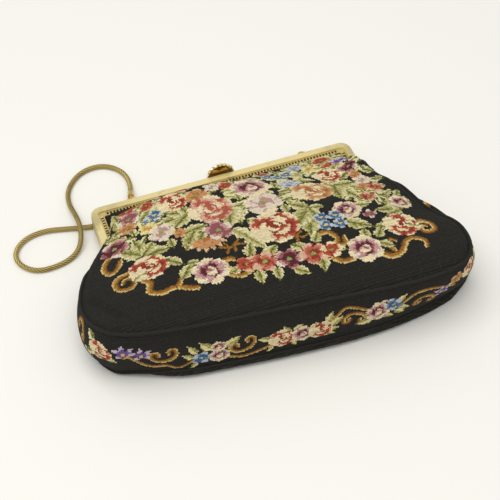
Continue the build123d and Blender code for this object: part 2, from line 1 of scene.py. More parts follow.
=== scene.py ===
"""The looks of a petit point handbag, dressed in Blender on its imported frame.

The bag lies on its back with the clasp frame away from the viewer. Lengths are in millimetres
until a mesh is made. A place on the cloth is given by x, along the frame, and by its depth, which
is counted from the frame's outer edge towards the bag's bottom.
"""

import logging
import math
from collections.abc import Sequence
from dataclasses import dataclass, field
from enum import Enum

import bpy
import numpy as np
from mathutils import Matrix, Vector
from mathutils.bvhtree import BVHTree


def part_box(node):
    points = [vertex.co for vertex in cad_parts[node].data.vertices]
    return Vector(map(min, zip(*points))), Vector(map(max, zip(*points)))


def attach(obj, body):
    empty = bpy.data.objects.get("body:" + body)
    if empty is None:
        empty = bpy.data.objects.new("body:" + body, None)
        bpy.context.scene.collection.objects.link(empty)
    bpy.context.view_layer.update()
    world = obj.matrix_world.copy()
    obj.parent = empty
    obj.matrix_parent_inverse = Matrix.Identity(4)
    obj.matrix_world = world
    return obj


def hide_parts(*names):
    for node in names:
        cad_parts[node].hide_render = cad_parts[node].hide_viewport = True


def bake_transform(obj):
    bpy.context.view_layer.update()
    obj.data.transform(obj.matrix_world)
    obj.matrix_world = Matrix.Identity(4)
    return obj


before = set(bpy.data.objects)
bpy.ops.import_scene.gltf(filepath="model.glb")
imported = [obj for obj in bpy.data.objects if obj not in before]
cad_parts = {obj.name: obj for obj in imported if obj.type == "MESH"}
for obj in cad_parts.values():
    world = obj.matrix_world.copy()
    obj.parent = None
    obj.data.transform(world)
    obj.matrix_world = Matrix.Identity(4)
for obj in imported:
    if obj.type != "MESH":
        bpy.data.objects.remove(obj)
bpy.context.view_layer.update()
MM = 0.001
FRAME_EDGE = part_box("back_frame")[1].y / MM
LOG = logging.getLogger("petit_point_bag")

Point = tuple[float, float]
Petal = tuple[float, float, float, float]
Array = np.ndarray
Places = tuple[Array, Array]
Thing = bpy.types.Object
Socket = bpy.types.NodeSocket


class Wool(Enum):
    """The skeins that the needlework is worked in."""

    GROUND = "#252420"
    # painted glint: a lighter grey for ground stitches that stand for glints of light on the wool
    PAINTED_GLINT = "#2b2a26"
    LEAF_DEEP = "#686b31"
    LEAF_DARK = "#94914d"
    LEAF = "#bbb473"
    LEAF_PALE = "#d8cf94"
    LEAF_LIGHT = "#eae3b2"
    SPRIG = "#93ab58"
    RED_DEEP = "#963829"
    RED = "#b64f3a"
    CORAL = "#d07a5c"
    CREAM = "#f5e3b6"
    ROSE_PEACH = "#e3bf97"
    TERRACOTTA = "#b5604a"
    BLUSH = "#e2b39c"
    BURGUNDY = "#5c2830"
    MAUVE_DARK = "#9a5a5e"
    MAUVE = "#cc9c94"
    PALE_PINK = "#ecdcc6"
    PURPLE = "#74559a"
    LILAC = "#d3c2d4"
    BLUE = "#44668f"
    BLUE_MID = "#7690b0"
    BLUE_PALE = "#c9d1d3"
    YELLOW = "#e5cf6b"
    STRAW = "#efe0a0"
    ORANGE_DARK = "#b0703f"
    ORANGE = "#cf9662"
    APRICOT = "#e6c294"
    SCROLL_DARK = "#6f4a1e"
    SCROLL = "#a4702c"
    SCROLL_GOLD = "#c39a4d"
    SCROLL_LIGHT = "#e0c583"


def linear(colour: str) -> tuple[float, float, float]:
    """A written #rrggbb colour as linear red, green and blue."""
    parts = [int(colour[i : i + 2], 16) / 255 for i in (1, 3, 5)]
    return tuple(c / 12.92 if c <= 0.04045 else ((c + 0.055) / 1.055) ** 2.4 for c in parts)


def ease(values: Array) -> Array:
    """A soft step from 0 to 1."""
    share = np.clip(values, 0, 1)
    return share * share * (3 - 2 * share)


def smooth_path(points: Sequence[Point], parts: int = 6) -> Array:
    """A soft line through points.

    Args:
        points: the places that the line goes through.
        parts: how many short pieces each stretch is cut into.

    Returns:
        The line as rows of x and depth.
    """
    marks = np.array([points[0], *points, points[-1]], dtype=float)
    line = []
    for before, start, end, after in zip(marks, marks[1:], marks[2:], marks[3:]):
        bend, twist = 2 * before - 5 * start + 4 * end - after, 3 * start - before - 3 * end + after
        for t in np.arange(parts) / parts:
            line.append(0.5 * (2 * start + (end - before) * t + bend * t**2 + twist * t**3))
    return np.array([*line, marks[-1]])


class Chart:
    """A counted chart: one colour for each stitch of a piece of cloth."""

    PAINTED_GLINTS = 0.1
    # The first value is the wool's own unevenness from stitch to stitch; the second lightens or darkens whole
    # rows as painted shade of their relief.
    STITCH_UNEVEN, ROW_UNEVEN = 0.22, 0.1

    def __init__(self, across: Array, down: Array, seed: int) -> None:
        """Lay out the ground.

        Args:
            across: each stitch's place along the cloth.
            down: each stitch's place down the cloth.
            seed: the number that fixes the wool's small unevenness.
        """
        self.across, self.down = across, down
        self.chance = np.random.default_rng(seed)
        self.grain = self.chance.uniform(-0.5, 0.5, across.shape)
        self.colour = np.tile(np.array(linear(Wool.GROUND.value)), (*across.shape, 1))
        # painted glints: a share of the ground's stitches, picked at random, in a lighter grey
        self.colour[self.chance.random(across.shape) < self.PAINTED_GLINTS] = linear(Wool.PAINTED_GLINT.value)

    def local(self, x: float, d: float, turn: float = 0.0) -> Places:
        """Every stitch's place from (x, d), along a direction turned by degrees and across it."""
        c, s = math.cos(math.radians(turn)), math.sin(math.radians(turn))
        return (self.across - x) * c + (self.down - d) * s, (self.down - d) * c - (self.across - x) * s

    def shade(self, mask: Array, tone: Array, wools: Sequence[Wool]) -> None:
        """Work some stitches in shades.

        Args:
            mask: the stitches to work.
            tone: how light each of them is, from 0 to 1.
            wools: the wools from tone 0 to tone 1.
        """
        skeins = np.array([linear(w.value) for w in wools])
        pick = np.clip(tone[mask] * len(wools) + 0.5 * self.grain[mask], 0, len(wools) - 0.01)
        self.colour[mask] = skeins[pick.astype(int)]

    def stroke(self, points: Sequence[Point], widths: Point, wools: Sequence[Wool]) -> None:
        """Work a curved band.

        Args:
            points: places on the band's middle line.
            widths: the band's width where it starts and where it ends.
            wools: the wools from the band's right-hand side to its left-hand side.
        """
        line = smooth_path(points)
        low, high = line.min(0) - max(widths), line.max(0) + max(widths)
        near = (
            (self.across > low[0]) & (self.across < high[0]) & (self.down > low[1]) & (self.down < high[1])
        )
        spot = np.stack([self.across[near], self.down[near]], axis=1)[:, None]
        start, run = line[:-1], np.diff(line, axis=0)
        length = np.maximum((run**2).sum(1), 1e-9)
        along = np.clip(((spot - start) * run).sum(2) / length, 0, 1)
        off = spot - start - along[..., None] * run
        gap = np.hypot(off[..., 0], off[..., 1])
        best = gap.argmin(1)
        row = np.arange(len(best))
        share = (best + along[row, best]) / len(run)
        half = (widths[0] + (widths[1] - widths[0]) * share) / 2
        side = np.sign(run[best, 0] * off[row, best, 1] - run[best, 1] * off[row, best, 0])
        mask, tone = np.zeros(near.shape, bool), np.zeros(near.shape)
        mask[near] = gap[row, best] < half
        tone[near] = 0.5 + 0.5 * side * gap[row, best] / np.maximum(half, 1e-6)
        self.shade(mask, tone, wools)

    def finish(self) -> Array:
        """The colours with each stitch a little lighter or darker at random, and each row too, as painted
        shade of the rows' relief.
        """
        rows = self.chance.uniform(-self.ROW_UNEVEN, self.ROW_UNEVEN, (len(self.colour), 1, 1))
        return np.clip(self.colour * (1 + self.STITCH_UNEVEN * self.grain[..., None] + rows), 0, 1)


class Palette(Enum):
    """Wools that a flower or leaf shades through, from its dark parts to its light ones."""

    RED_ROSE = (Wool.RED_DEEP, Wool.RED, Wool.RED, Wool.ROSE_PEACH, Wool.CREAM, Wool.CREAM)
    MAUVE_ROSE = (Wool.BURGUNDY, Wool.MAUVE_DARK, Wool.MAUVE, Wool.MAUVE, Wool.PALE_PINK, Wool.CREAM)
    PEACH_ROSE = (Wool.ORANGE_DARK, Wool.ORANGE, Wool.ORANGE, Wool.APRICOT, Wool.CREAM)
    TERRA_ROSE = (Wool.TERRACOTTA, Wool.TERRACOTTA, Wool.CORAL, Wool.BLUSH, Wool.BLUSH, Wool.CREAM)
    RED = (Wool.RED_DEEP, Wool.RED, Wool.RED, Wool.CORAL, Wool.ROSE_PEACH)
    TERRACOTTA = (Wool.RED_DEEP, Wool.TERRACOTTA, Wool.CORAL, Wool.BLUSH, Wool.ROSE_PEACH)
    PANSY = (Wool.BURGUNDY, Wool.BURGUNDY, Wool.MAUVE_DARK, Wool.MAUVE, Wool.PALE_PINK)
    MAUVE = (Wool.MAUVE_DARK, Wool.MAUVE_DARK, Wool.MAUVE, Wool.PALE_PINK)
    PALE_PINK = (Wool.MAUVE, Wool.PALE_PINK, Wool.PALE_PINK, Wool.CREAM)
    VIOLET = (Wool.PURPLE, Wool.PURPLE, Wool.LILAC, Wool.LILAC)
    BLUE = (Wool.BLUE, Wool.BLUE, Wool.BLUE_MID, Wool.BLUE_PALE, Wool.BLUE_PALE)
    GREY = (Wool.BLUE_MID, Wool.BLUE_PALE, Wool.LILAC, Wool.BLUE_PALE)
    YELLOW = (Wool.ORANGE, Wool.YELLOW, Wool.STRAW, Wool.STRAW)
    ORANGE = (Wool.ORANGE_DARK, Wool.ORANGE, Wool.ORANGE, Wool.APRICOT)
    LEAF = (Wool.LEAF_DEEP, Wool.LEAF_DARK, Wool.LEAF, Wool.LEAF_PALE, Wool.LEAF_LIGHT)
    LEAF_YELLOW = (Wool.LEAF_DARK, Wool.LEAF, Wool.LEAF_PALE, Wool.LEAF_LIGHT, Wool.STRAW)
    SCROLL = (Wool.SCROLL_DARK, Wool.SCROLL, Wool.SCROLL, Wool.SCROLL_GOLD, Wool.SCROLL_LIGHT)
    TWIG = (Wool.SCROLL_DARK, Wool.SCROLL, Wool.SCROLL)


@dataclass(frozen=True)
class Motif:
    """One thing worked on a chart, at a place on the cloth."""

    x: float
    d: float

    def work(self, chart: Chart) -> None:
        """Work the motif's stitches."""
        raise NotImplementedError


@dataclass(frozen=True)
class Rose(Motif):
    """A full-blown rose: petals that lap over each other, and pale arcs curled round the heart.

    Each petal, from the outermost inwards, is given by its distance from the middle, its direction in
    degrees, its half width and how light it is. It is dark at its foot and light at its rim. Each arc is
    given by its distance, direction, half angle and half width.
    """

    size: float = 10.0
    palette: Palette = Palette.RED_ROSE
    turn: float = 0.0
    tall: float = 0.95
    petals: tuple[Petal, ...] = (
        (0.58, -158, 0.42, -0.05), (0.58, 18, 0.43, -0.05), (0.55, -98, 0.48, 0.46), (0.58, -38, 0.44, 0.16),
        (0.56, 76, 0.46, 0.16), (0.52, 142, 0.53, 0.74), (0.26, -60, 0.40, 0.20), (0.20, 40, 0.42, 0.12),
    )
    arcs: tuple[Petal, ...] = (
        (0.44, 168, 62, 0.13), (0.42, -52, 52, 0.09), (0.46, 62, 34, 0.08), (0.22, 118, 84, 0.09),
        (0.20, -40, 60, 0.06),
    )
    slope: float = 0.85

    CUPPING, RUFFLE, RUFFLES = 0.25, 0.09, 9
    ROUNDNESS, ROUGH_EDGE = 0.88, 0.14
    ARC_TONE, ARC_FADE = 0.9, 0.3

    def work(self, chart: Chart) -> None:
        """Work the petals one over another, then the arcs.

        Args:
            chart: the chart to work.
        """
        u, v = chart.local(self.x, self.d, self.turn)
        u, v = u / self.size, v / self.size / self.tall
        for away, way, half, light in self.petals:
            c, s = math.cos(math.radians(way)), math.sin(math.radians(way))
            out, side = ((u * c + v * s) - away) / half, (v * c - u * s) / half
            ruffle = self.RUFFLE * np.sin(self.RUFFLES * side + way)
            tone = light + self.slope * (out - self.CUPPING * side**2) + ruffle
            edge = 1 + self.ROUGH_EDGE * chart.grain
            chart.shade(np.hypot(out, self.ROUNDNESS * side) < edge, tone, self.palette.value)
        reach, angle = np.hypot(u, v), np.degrees(np.arctan2(v, u))
        for middle, way, half, wide in self.arcs:
            off = ((angle - way + 180) % 360 - 180) / half
            lens = wide * np.sqrt(np.clip(1 - off**2, 0, 1))
            tone = self.ARC_TONE - self.ARC_FADE * off**2
            chart.shade(np.abs(reach - middle) < lens, tone, self.palette.value)


@dataclass(frozen=True)
class CupRose(Rose):
    """A rose with dark petals round its pale heart."""

    palette: Palette = Palette.MAUVE_ROSE
    petals: tuple[Petal, ...] = (
        (0.58, -170, 0.40, 0.50), (0.60, -112, 0.42, 0.70), (0.58, -54, 0.40, 0.46), (0.60, 4, 0.42, 0.62),
        (0.58, 62, 0.42, 0.84), (0.58, 124, 0.42, 0.60), (0.32, -128, 0.34, 0.06), (0.32, -20, 0.34, 0.12),
        (0.30, 100, 0.36, 0.24), (0.08, 50, 0.27, 0.86), (0.16, -80, 0.17, 0.60),
    )
    arcs: tuple[Petal, ...] = ()
    slope: float = 0.52


@dataclass(frozen=True)
class Blossom(Motif):
    """An open flower with rounded petals and a small eye."""

    size: float = 6.0
    palette: Palette = Palette.MAUVE
    turn: float = 0.0
    petals: int = 5
    tall: float = 0.95
    eye: Wool = Wool.SPRIG
    eye_share: float = 0.17

    PETAL_AWAY, PETAL_HALF, PETAL_CHANGE = 0.56, 0.47, 0.2
    DARK_FOOT, DARK_EDGE, EDGE_FROM = 0.12, 0.5, 0.37
    WAVE, ROUGH_EDGE = 0.06, 0.16

    def work(self, chart: Chart) -> None:
        """Work the petals, dark at the foot and light at the rim, then the eye.

        Args:
            chart: the chart to work.
        """
        u, v = chart.local(self.x, self.d, self.turn)
        u, v = u / self.size, v / self.size / self.tall
        reach = np.hypot(u, v)
        angle = np.arctan2(v, u)
        for petal in range(self.petals):
            way = 2 * math.pi * petal / self.petals
            pu, pv = u - self.PETAL_AWAY * math.cos(way), v - self.PETAL_AWAY * math.sin(way)
            gap = np.hypot(pu, pv) / self.PETAL_HALF
            side = -pu * math.sin(way) + pv * math.cos(way)
            change = self.PETAL_CHANGE * math.sin(2.4 * petal + self.turn)
            tone = reach - self.DARK_FOOT + change - self.DARK_EDGE * (np.abs(side) > self.EDGE_FROM)
            edge = 1 + self.WAVE * np.sin(8 * angle) + self.ROUGH_EDGE * chart.grain
            chart.shade(gap < edge, tone, self.palette.value)
        chart.shade(reach < self.eye_share, np.ones_like(reach), (self.eye,))


@dataclass(frozen=True)
class Leaf(Motif):
    """A toothed leaf from its foot at (x, d) to its tip."""

    tip: Point = (0.0, 0.0)
    wide: float = 0.3
    palette: Palette = Palette.LEAF
    teeth: int = 4
    split: bool = False

    RIB_HALF, RIB_TONE = 0.45, 0.08
    LIGHT_HALF, DARK_HALF = 0.92, 0.2

    def work(self, chart: Chart) -> None:
        """Work the blade with a midrib and side veins, or split in a light and a dark half.

        Args:
            chart: the chart to work.
        """
        run = math.dist((self.x, self.d), self.tip)
        turn = math.degrees(math.atan2(self.tip[1] - self.d, self.tip[0] - self.x))
        u, v = chart.local(self.x, self.d, turn)
        t, side = u / run, v / run
        inside = np.clip(t, 0, 1)
        saw = (inside * self.teeth) % 1
        half = self.wide * np.sin(math.pi * inside**0.72) * (0.86 + 0.26 * saw)
        vein = ((inside * self.teeth - np.abs(side) * 4) % 1) < 0.26
        edge = np.abs(side) / np.maximum(half, 1e-6)
        tone = 0.3 + 0.5 * edge + np.where(side < 0, 0.14, -0.06) - 0.22 * vein
        tone = np.where(np.abs(side) < self.RIB_HALF / run, self.RIB_TONE, tone)
        if self.split:
            tone = np.where(side < 0, self.LIGHT_HALF, self.DARK_HALF)
        chart.shade((t > 0) & (t < 1) & (np.abs(side) < half), tone, self.palette.value)


@dataclass(frozen=True)
class LobedLeaf(Motif):
    """A leaf with several lobes that spread from one foot."""

    tips: tuple[Point, ...] = ()
    wide: float = 0.33
    palette: Palette = Palette.LEAF

    def work(self, chart: Chart) -> None:
        """Work each lobe as a leaf of its own."""
        for tip in self.tips:
            Leaf(self.x, self.d, tip, self.wide, self.palette, teeth=5).work(chart)


@dataclass(frozen=True)
class Fringe(Motif):
    """A flower seen from the side, with a fringe of pointed petals."""

    size: float = 11.0
    turn: float = 90.0
    spread: float = 78.0
    palette: Palette = Palette.ORANGE

    def work(self, chart: Chart) -> None:
        """Work the fan of petals.

        Args:
            chart: the chart to work.
        """
        u, v = chart.local(self.x, self.d, self.turn)
        reach, angle = np.hypot(u, v) / self.size, np.degrees(np.arctan2(v, u))
        rays = np.abs((angle / self.spread * 3.5) % 1 - 0.5) * 2
        tone = reach * 0.95 - 0.25 * (rays > 0.75)
        chart.shade((np.abs(angle) < self.spread) & (reach < 1.02 - 0.3 * rays), tone, self.palette.value)


@dataclass(frozen=True)
class Stroke(Motif):
    """A curved band, such as a scroll, stem or twig, that starts at (x, d)."""

    through: tuple[Point, ...] = ()
    widths: Point = (4.0, 2.0)
    palette: Palette = Palette.SCROLL

    def work(self, chart: Chart) -> None:
        """Work the band."""
        chart.stroke([(self.x, self.d), *self.through], self.widths, self.palette.value)


@dataclass(frozen=True)
class Curl(Motif):
    """A scroll that winds in to its middle at (x, d)."""

    size: float = 7.0
    start: float = 0.0
    turns: float = 1.4
    hand: int = 1
    widths: Point = (4.4, 2.6)
    tall: float = 1.0
    palette: Palette = Palette.SCROLL

    def work(self, chart: Chart) -> None:
        """Work the band from the outside inwards.

        Args:
            chart: the chart to work.
        """
        points = []
        for i in range(int(8 * self.turns) + 1):
            way = math.radians(self.start) + self.hand * i * math.pi / 4
            reach = self.size * (1 - 0.8 * i / (8 * self.turns))
            points.append((self.x + reach * math.cos(way), self.d + self.tall * reach * math.sin(way)))
        chart.stroke(points, self.widths, self.palette.value)


@dataclass(frozen=True)
class Hook(Motif):
    """A scroll shaped like a C, with both ends curled in."""

    wide: float = 7.6
    tall: float = 5.0
    hand: int = 1
    turn: float = 0.0

    WIDTHS = (2.8, 2.6)
    SHARES = (
        (-0.42, 0.0), (-0.55, -0.5), (-0.9, -0.45), (-0.98, 0.2), (-0.6, 0.85), (0.1, 0.9),
        (0.7, 0.45), (1.0, -0.35), (0.8, -0.95), (0.42, -0.75), (0.45, -0.3),
    )

    def work(self, chart: Chart) -> None:
        """Work the band from one curled end to the other.

        Args:
            chart: the chart to work.
        """
        c, s = math.cos(math.radians(self.turn)), math.sin(math.radians(self.turn))
        line = [(u * self.wide, v * self.tall * self.hand) for u, v in self.SHARES]
        places = [(self.x + u * c - v * s, self.d + u * s + v * c) for u, v in line]
        chart.stroke(places, self.WIDTHS, Palette.SCROLL.value)


@dataclass(frozen=True)
class Violet(Motif):
    """A small flower with narrow pale-tipped petals and a yellow eye."""

    size: float = 8.0
    ways: tuple[float, ...] = (215.0, 265.0, 318.0, 20.0, 140.0)

    LONG_PETALS, SHORT = 3, 0.72
    PETAL_HALF, EYE = 0.2, 0.16

    def work(self, chart: Chart) -> None:
        """Work the petals from the eye outwards, then the eye.

        Args:
            chart: the chart to work.
        """
        for number, way in enumerate(self.ways):
            u, v = chart.local(self.x, self.d, way)
            t = u / (self.size * (1.0 if number < self.LONG_PETALS else self.SHORT))
            half = self.PETAL_HALF * np.sin(math.pi * np.clip(t, 0, 1) ** 0.9)
            mask = (t > 0) & (t < 1) & (np.abs(v) < half * self.size)
            chart.shade(mask, t * 0.98, Palette.VIOLET.value)
        u, v = chart.local(self.x, self.d)
        chart.shade(np.hypot(u, v) < self.EYE * self.size, np.ones_like(u), (Wool.YELLOW,))


@dataclass(frozen=True)
class Sprigs(Motif):
    """Small leaves strewn over a field, which fill in a bouquet."""

    wide: float = 80.0
    tall: float = 36.0
    count: int = 60
    long: float = 10.0

    LENGTHS = (0.7, 1.15)
    GREEN, SPLIT = 0.7, 0.5
    LEAF_WIDE, LEAF_TEETH = 0.28, 3

    def work(self, chart: Chart) -> None:
        """Work the leaves one by one over an oval field.

        Args:
            chart: the chart to work.
        """
        for _ in range(self.count):
            way, reach = chart.chance.uniform(0, 2 * math.pi), math.sqrt(chart.chance.random())
            x, d = self.x + self.wide * reach * math.cos(way), self.d + self.tall * reach * math.sin(way)
            lean, run = chart.chance.uniform(0, 2 * math.pi), self.long * chart.chance.uniform(*self.LENGTHS)
            skein = Palette.LEAF if chart.chance.random() < self.GREEN else Palette.LEAF_YELLOW
            tip = (x + run * math.cos(lean), d + run * math.sin(lean))
            split = chart.chance.random() < self.SPLIT
            Leaf(x, d, tip, self.LEAF_WIDE, skein, self.LEAF_TEETH, split).work(chart)


def forget_me_nots(*places: Point) -> list[Motif]:
    """Small blue flowers with yellow eyes."""
    return [Blossom(x, d, 4.6, Palette.BLUE, 20, eye=Wool.YELLOW, eye_share=0.26) for x, d in places]


FRONT_PATTERN: list[Motif] = [
    Sprigs(-20, 30, 62, 22, 120, 11),
    Sprigs(56, 34, 28, 29, 86, 10),
    Sprigs(70, 74, 18, 11, 14, 8.5),
    Sprigs(56, 16, 24, 9, 36, 9),
    Sprigs(75, 48, 10, 24, 28, 8.5),
    Sprigs(81, 64, 11, 19, 30, 7.5),
    Sprigs(18, 62, 26, 16, 22, 10),
    Sprigs(-66, 42, 24, 22, 44, 9),
    # Brown twigs and scrolls
    Stroke(-29, 84, ((-24, 86), (-18, 85), (-12, 89)), (2.4, 1.4), Palette.TWIG),
    Stroke(-22, 90, ((-21, 85), (-17, 81)), (2.2, 1.2), Palette.TWIG),
    Stroke(-27, 90, ((-25, 86), (-26, 81)), (2.0, 1.2), Palette.TWIG),
    Stroke(11, 92, ((15, 91), (19, 94), (23, 93)), (2.4, 1.4), Palette.TWIG),
    Stroke(15, 96, ((16, 92), (20, 89)), (2.2, 1.2), Palette.TWIG),
    Stroke(-81, 58, ((-86, 55), (-93, 57), (-96.5, 63), (-95, 70), (-90, 69), (-86, 63)), (4.2, 3.6)),
    Curl(-88, 85, 8.4, -70, 1.35, -1),
    Stroke(-79, 88, ((-76, 93), (-78, 100), (-72, 104), (-64, 103), (-57, 107), (-52, 109)), (4.4, 4.0)),
    Stroke(-62, 103, ((-58, 98), (-53, 96)), (3.8, 2.4)),
    Curl(-27, 98, 8.6, 30, 0.8, 1, (4.6, 3.8)),
    Stroke(-32, 106, ((-26, 110), (-20, 109), (-15, 105)), (4.2, 3.2)),
    Stroke(30, 95, ((35, 96), (38, 102), (36, 107), (41, 108), (42, 103)), (4.2, 3.0)),
    Stroke(30, 117, ((34, 121), (40, 121), (45, 117)), (4.2, 4.0)),
    Stroke(57, 122, ((63, 127), (70, 125), (76, 118), (82, 117), (87, 121), (86, 126)), (4.6, 3.0)),
    Stroke(66, 123, ((64, 118), (67, 114), (70, 116)), (3.4, 2.2)),
    Curl(93, 110, 7.6, 215, 1.3, 1),
    Stroke(84, 110, ((87, 105), (93, 102), (97, 105)), (4.2, 2.4)),
    # Large leaves
    LobedLeaf(-37, 46, ((-57, 47), (-50, 39), (-41, 35), (-49, 55))),
    LobedLeaf(-11, 52, ((1, 49), (-4, 61), (-10, 69), (-18, 69))),
    LobedLeaf(33, 71, ((22, 61), (43, 72), (24, 96), (17, 86), (35, 84)), 0.3),
    LobedLeaf(58, 50, ((74, 59), (67, 69), (56, 69), (73, 51))),
    LobedLeaf(-73, 67, ((-74, 49), (-55, 69), (-86, 54), (-63, 58)), 0.28),
    LobedLeaf(-11, 38, ((-1, 35), (-3, 42)), 0.34, Palette.LEAF_YELLOW),
    LobedLeaf(87, 89, ((70, 85), (84, 72), (74, 93)), 0.26),
    Leaf(-46, 62, (-29, 60), 0.26),
    Leaf(-39, 63, (-49, 78)),
    Leaf(-33, 65, (-41, 76), 0.24),
    Leaf(-17, 71, (-8, 84), 0.32, Palette.LEAF_YELLOW),
    Leaf(-12, 80, (-4, 95), 0.3, Palette.LEAF_YELLOW),
    Leaf(-62, 77, (-53, 88), 0.28),
    Leaf(-58, 99, (-49, 88), 0.28),
    Leaf(-52, 88, (-43, 90)),
    Leaf(-16, 98, (-12, 87), 0.34),
    Leaf(-8, 102, (3, 94), 0.32),
    Leaf(-24, 104, (-31, 107), 0.38),
    Leaf(-15, 110, (-16, 121), 0.32),
    Leaf(-4, 112, (-6, 122), 0.32),
    Leaf(5, 116, (13, 123), 0.34),
    Leaf(24, 113, (21, 125), 0.32),
    Leaf(24, 101, (29, 93), 0.36),
    Leaf(18, 104, (9, 97), 0.34),
    Leaf(34, 110, (40, 113), 0.4),
    Leaf(59, 77, (71, 78)),
    Leaf(48, 90, (63, 100), 0.28),
    Leaf(74, 102, (62, 101)),
    Leaf(54, 110, (56, 99), 0.34),
    Leaf(61, 110, (67, 102), 0.34),
    Leaf(60, 114, (68, 120), 0.32),
    Leaf(92, 74, (100, 80), 0.32),
    Leaf(92, 72, (96, 66), 0.34),
    Leaf(22, 47, (31, 45), 0.34),
    Leaf(21, 57, (29, 55), 0.34),
    Leaf(64, 44, (75, 38)),
    Leaf(62, 24, (50, 22), 0.34, Palette.LEAF_YELLOW),
    Leaf(-60, 32, (-66, 38), 0.34),
    Leaf(-50, 26, (-60, 29), 0.34, Palette.LEAF_YELLOW),
    Leaf(-80, 40, (-90, 36)),
    Leaf(-79, 44, (-92, 44), 0.26),
    Leaf(-54, 62, (-54, 71), 0.34),
    # Small flowers of the upper edge
    Blossom(-70, 20, 5.6, Palette.RED, 10),
    Stroke(-64, 22, ((-61, 16), (-56, 17), (-57, 22)), (2.4, 2.0)),
    Blossom(-71, 29, 7.0, Palette.MAUVE, 40),
    Blossom(-74, 36, 6.4, Palette.ORANGE, 15, tall=0.7),
    Blossom(-58, 26, 4.4, Palette.RED),
    Blossom(-50, 17, 5.2, Palette.VIOLET, 30),
    Blossom(-41, 18, 5.6, Palette.ORANGE),
    Blossom(-33, 20, 5.0, Palette.TERRACOTTA, 20),
    *forget_me_nots((-60, 39), (-56, 36)),
    Blossom(-63, 46, 6.0, Palette.YELLOW, 10, eye=Wool.ORANGE),
    Blossom(-57, 54, 8.4, Palette.PALE_PINK, 20),
    Blossom(-47, 60, 4.4, Palette.ORANGE),
    Blossom(-82, 44, 5.4, Palette.TERRACOTTA, tall=0.6),
    Blossom(-27, 31, 8.0, Palette.ORANGE, tall=0.72),
    Blossom(-15, 26, 6.0, Palette.PALE_PINK, tall=0.8),
    Blossom(-6, 27, 5.2, Palette.RED, tall=0.8),
    Blossom(-2, 16, 6.0, Palette.PALE_PINK, tall=0.7),
    Blossom(10, 17, 6.0, Palette.RED, tall=0.7),
    *forget_me_nots((24, 22), (31, 25), (37, 22)),
    Blossom(33, 38, 7.2, Palette.GREY, tall=0.8, eye=Wool.YELLOW),
    Blossom(24, 13, 5.4, Palette.TERRACOTTA, tall=0.7),
    Blossom(46, 14, 6.0, Palette.GREY, tall=0.7, eye=Wool.LILAC),
    Blossom(54, 20, 5.0, Palette.YELLOW, eye=Wool.SPRIG),
    Blossom(66, 23, 5.0, Palette.RED, tall=0.7),
    Blossom(65, 13, 6.2, Palette.RED, tall=0.7),
    Blossom(72, 21, 5.0, Palette.VIOLET, tall=0.9, eye=Wool.YELLOW),
    Blossom(74, 34, 6.4, Palette.PANSY, 20),
    Blossom(78, 50, 6.0, Palette.PALE_PINK),
    Blossom(75, 58, 4.4, Palette.ORANGE),
    Blossom(82, 61, 5.4, Palette.TERRACOTTA, 10),
    Blossom(76, 43, 4.0, Palette.ORANGE),
    # The bouquet's large flowers
    Fringe(-34, 71, 13.5, 96),
    Rose(-43, 31, 9.6, turn=15, tall=0.86),
    Rose(-23, 47, 14.2, Palette.TERRA_ROSE, 30),
    Blossom(-25, 68, 9.2, Palette.MAUVE, 55),
    CupRose(8, 34, 13.4, turn=8, tall=0.8),
    Blossom(9, 54, 12.0, Palette.PALE_PINK, 18, 6),
    Rose(42, 53, 13.8, Palette.PEACH_ROSE, 20, 0.85),
    Rose(60, 36, 9.8, turn=50, tall=0.85),
    Rose(7, 79, 15.6, turn=10),
    CupRose(54, 80, 9.4),
    Blossom(66, 88, 4.4, Palette.MAUVE, 0, 4),
    *forget_me_nots((36, 82), (45, 83), (36, 89.5), (45, 91)),
    Blossom(73, 70, 5.6, Palette.TERRACOTTA, 0, 4),
    CupRose(91, 80, 7.6, turn=30, tall=0.9),
    # The border's flowers
    Blossom(-86, 49, 9.2, Palette.PANSY, 25),
    Rose(-73, 79, 12.6, turn=5, tall=0.85),
    Stroke(-83, 86, ((-79, 83), (-76, 84)), (2.6, 2.0), Palette.LEAF),
    CupRose(-41, 100, 11.4, turn=20),
    Blossom(-20, 103, 6.4, Palette.RED, 30),
    Blossom(-9, 105, 8.4, Palette.TERRACOTTA, 10),
    Blossom(5, 108, 8.4, Palette.PANSY, 15),
    Blossom(20, 109, 8.8, Palette.TERRACOTTA, 40),
    Blossom(31, 110, 6.8, Palette.RED_ROSE),
    CupRose(50, 116, 11.2, turn=40),
    Rose(80, 103, 11.4, turn=65),
    Stroke(84, 105, ((88, 107), (92, 107)), (3.4, 1.8), Palette.LEAF),
]


